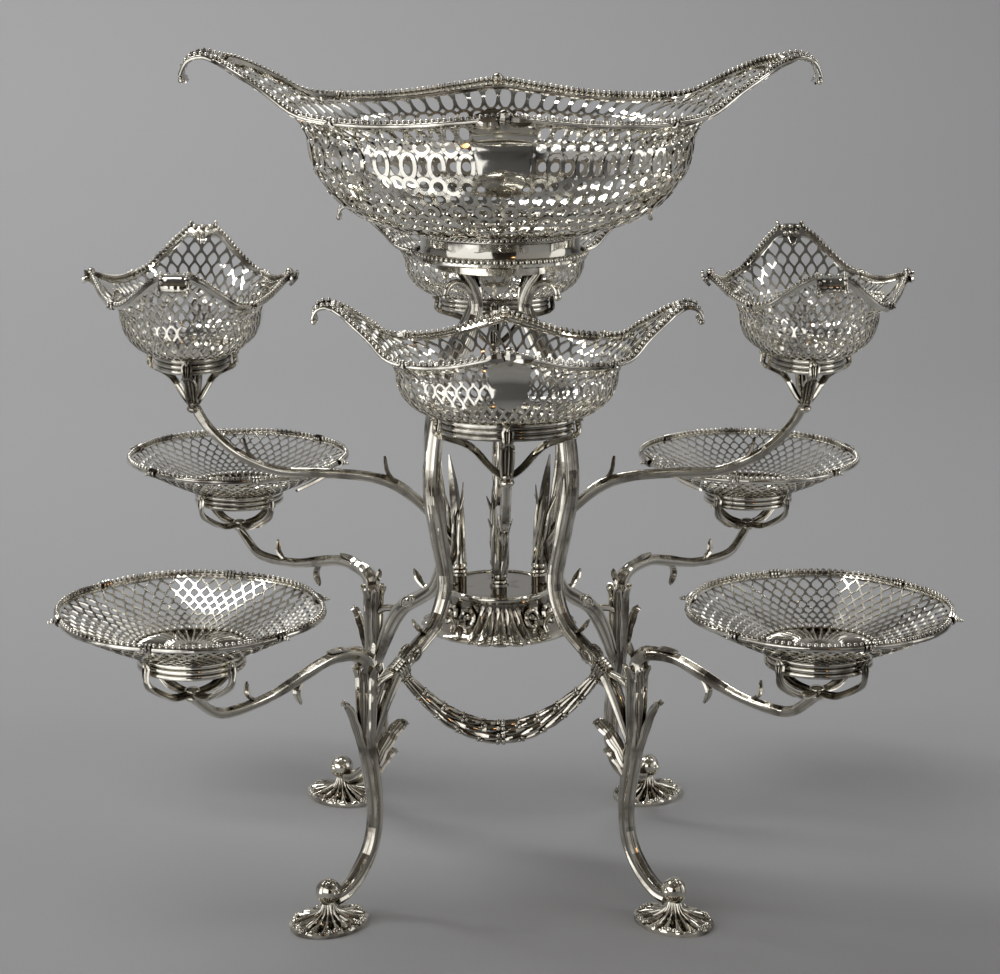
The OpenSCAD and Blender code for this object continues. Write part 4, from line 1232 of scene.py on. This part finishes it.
def paper_sweep():
    """Floor that curves up into a backdrop."""
    bm = bmesh.new()
    line = [(-6.0, 0.0), (1.4, 0.0), (1.7, 0.03), (1.95, 0.13), (2.15, 0.32), (2.25, 0.55),
            (2.3, 0.9), (2.3, 1.3)]
    verts = [bm.verts.new((-6.0, y, z)) for y, z in line]
    edges = [bm.edges.new(pair) for pair in zip(verts, verts[1:])]
    made = bmesh.ops.extrude_edge_only(bm, edges=edges)["geom"]
    bmesh.ops.translate(bm, vec=(12.0, 0, 0), verts=[g for g in made if isinstance(g, bmesh.types.BMVert)])
    for f in bm.faces:
        f.smooth = True
    bmesh.ops.recalc_face_normals(bm, faces=bm.faces)
    sweep = show("paper_sweep", mesh_of(bm, "paper_sweep"))
    sweep.data.materials.append(grey_paper())


def soft_box(name, place, target, size, power):
    lamp = bpy.data.lights.new(name, "AREA")
    lamp.shape = "RECTANGLE"
    lamp.size, lamp.size_y = size
    lamp.energy = power
    holder = show(name, lamp)
    holder.location = place
    holder.rotation_euler = (Vector(target) - Vector(place)).to_track_quat("-Z", "Y").to_euler()
    return lamp


def studio_light():
    """Soft boxes at the sides, at the back and overhead, and a small warm lamp."""
    for lamp in LAMPS:
        soft_box(*lamp)
    soft_box("warm_lamp", (0.55, -2.0, 1.0), (0, 0, 0.3), (0.1, 0.16), 0.35).color = (1.0, 0.5, 0.2)
    bpy.context.scene.view_settings.view_transform = "Standard"


def dim_room():
    """Room light that is weakest behind the camera and straight overhead."""
    world = bpy.data.worlds.new("dim_room")
    bpy.context.scene.world = world
    world.use_nodes = True
    tree = world.node_tree
    glow = tree.nodes["Background"]
    _, y, z = axes_of(tree, "Generated")
    height = mapped(tree, z, (-0.1, 0.7), (0.14, 0.38))
    top = mapped(tree, z, (0.6, 0.93), (1.0, 0.2))
    front = mapped(tree, y, (-0.95, -0.1), (0.12, 1.0))
    level = worked(tree, "MULTIPLY", worked(tree, "MULTIPLY", height, top), front)
    tree.links.new(blended(tree, front, (1.0, 0.80, 0.60), (1.0, 0.99, 0.97)), glow.inputs["Color"])
    tree.links.new(level, glow.inputs["Strength"])


def camera():
    """Camera at the picture's height and distance."""
    yaw, pitch, roll = 0.021, 0.246, 0.004
    forward = Vector((math.sin(yaw) * math.cos(pitch), math.cos(yaw) * math.cos(pitch), -math.sin(pitch)))
    right = Vector((math.cos(yaw), -math.sin(yaw), 0.0))
    up = right.cross(forward)
    r = right * math.cos(roll) + up * math.sin(roll)
    u = up * math.cos(roll) - right * math.sin(roll)
    eye = bpy.data.cameras.new("eye")
    eye.sensor_width = 36.0
    eye.lens = 99.2
    turn = Matrix((r, u, -forward)).transposed().to_4x4()
    turn.translation = Vector((-0.0315, -1.5153, 0.6034))
    holder = show("eye", eye)
    holder.matrix_world = turn
    bpy.context.scene.camera = holder


camera()
dress_stand()
dress_lower()
dress_upper()
dress_basket()
paper_sweep()
studio_light()
dim_room()
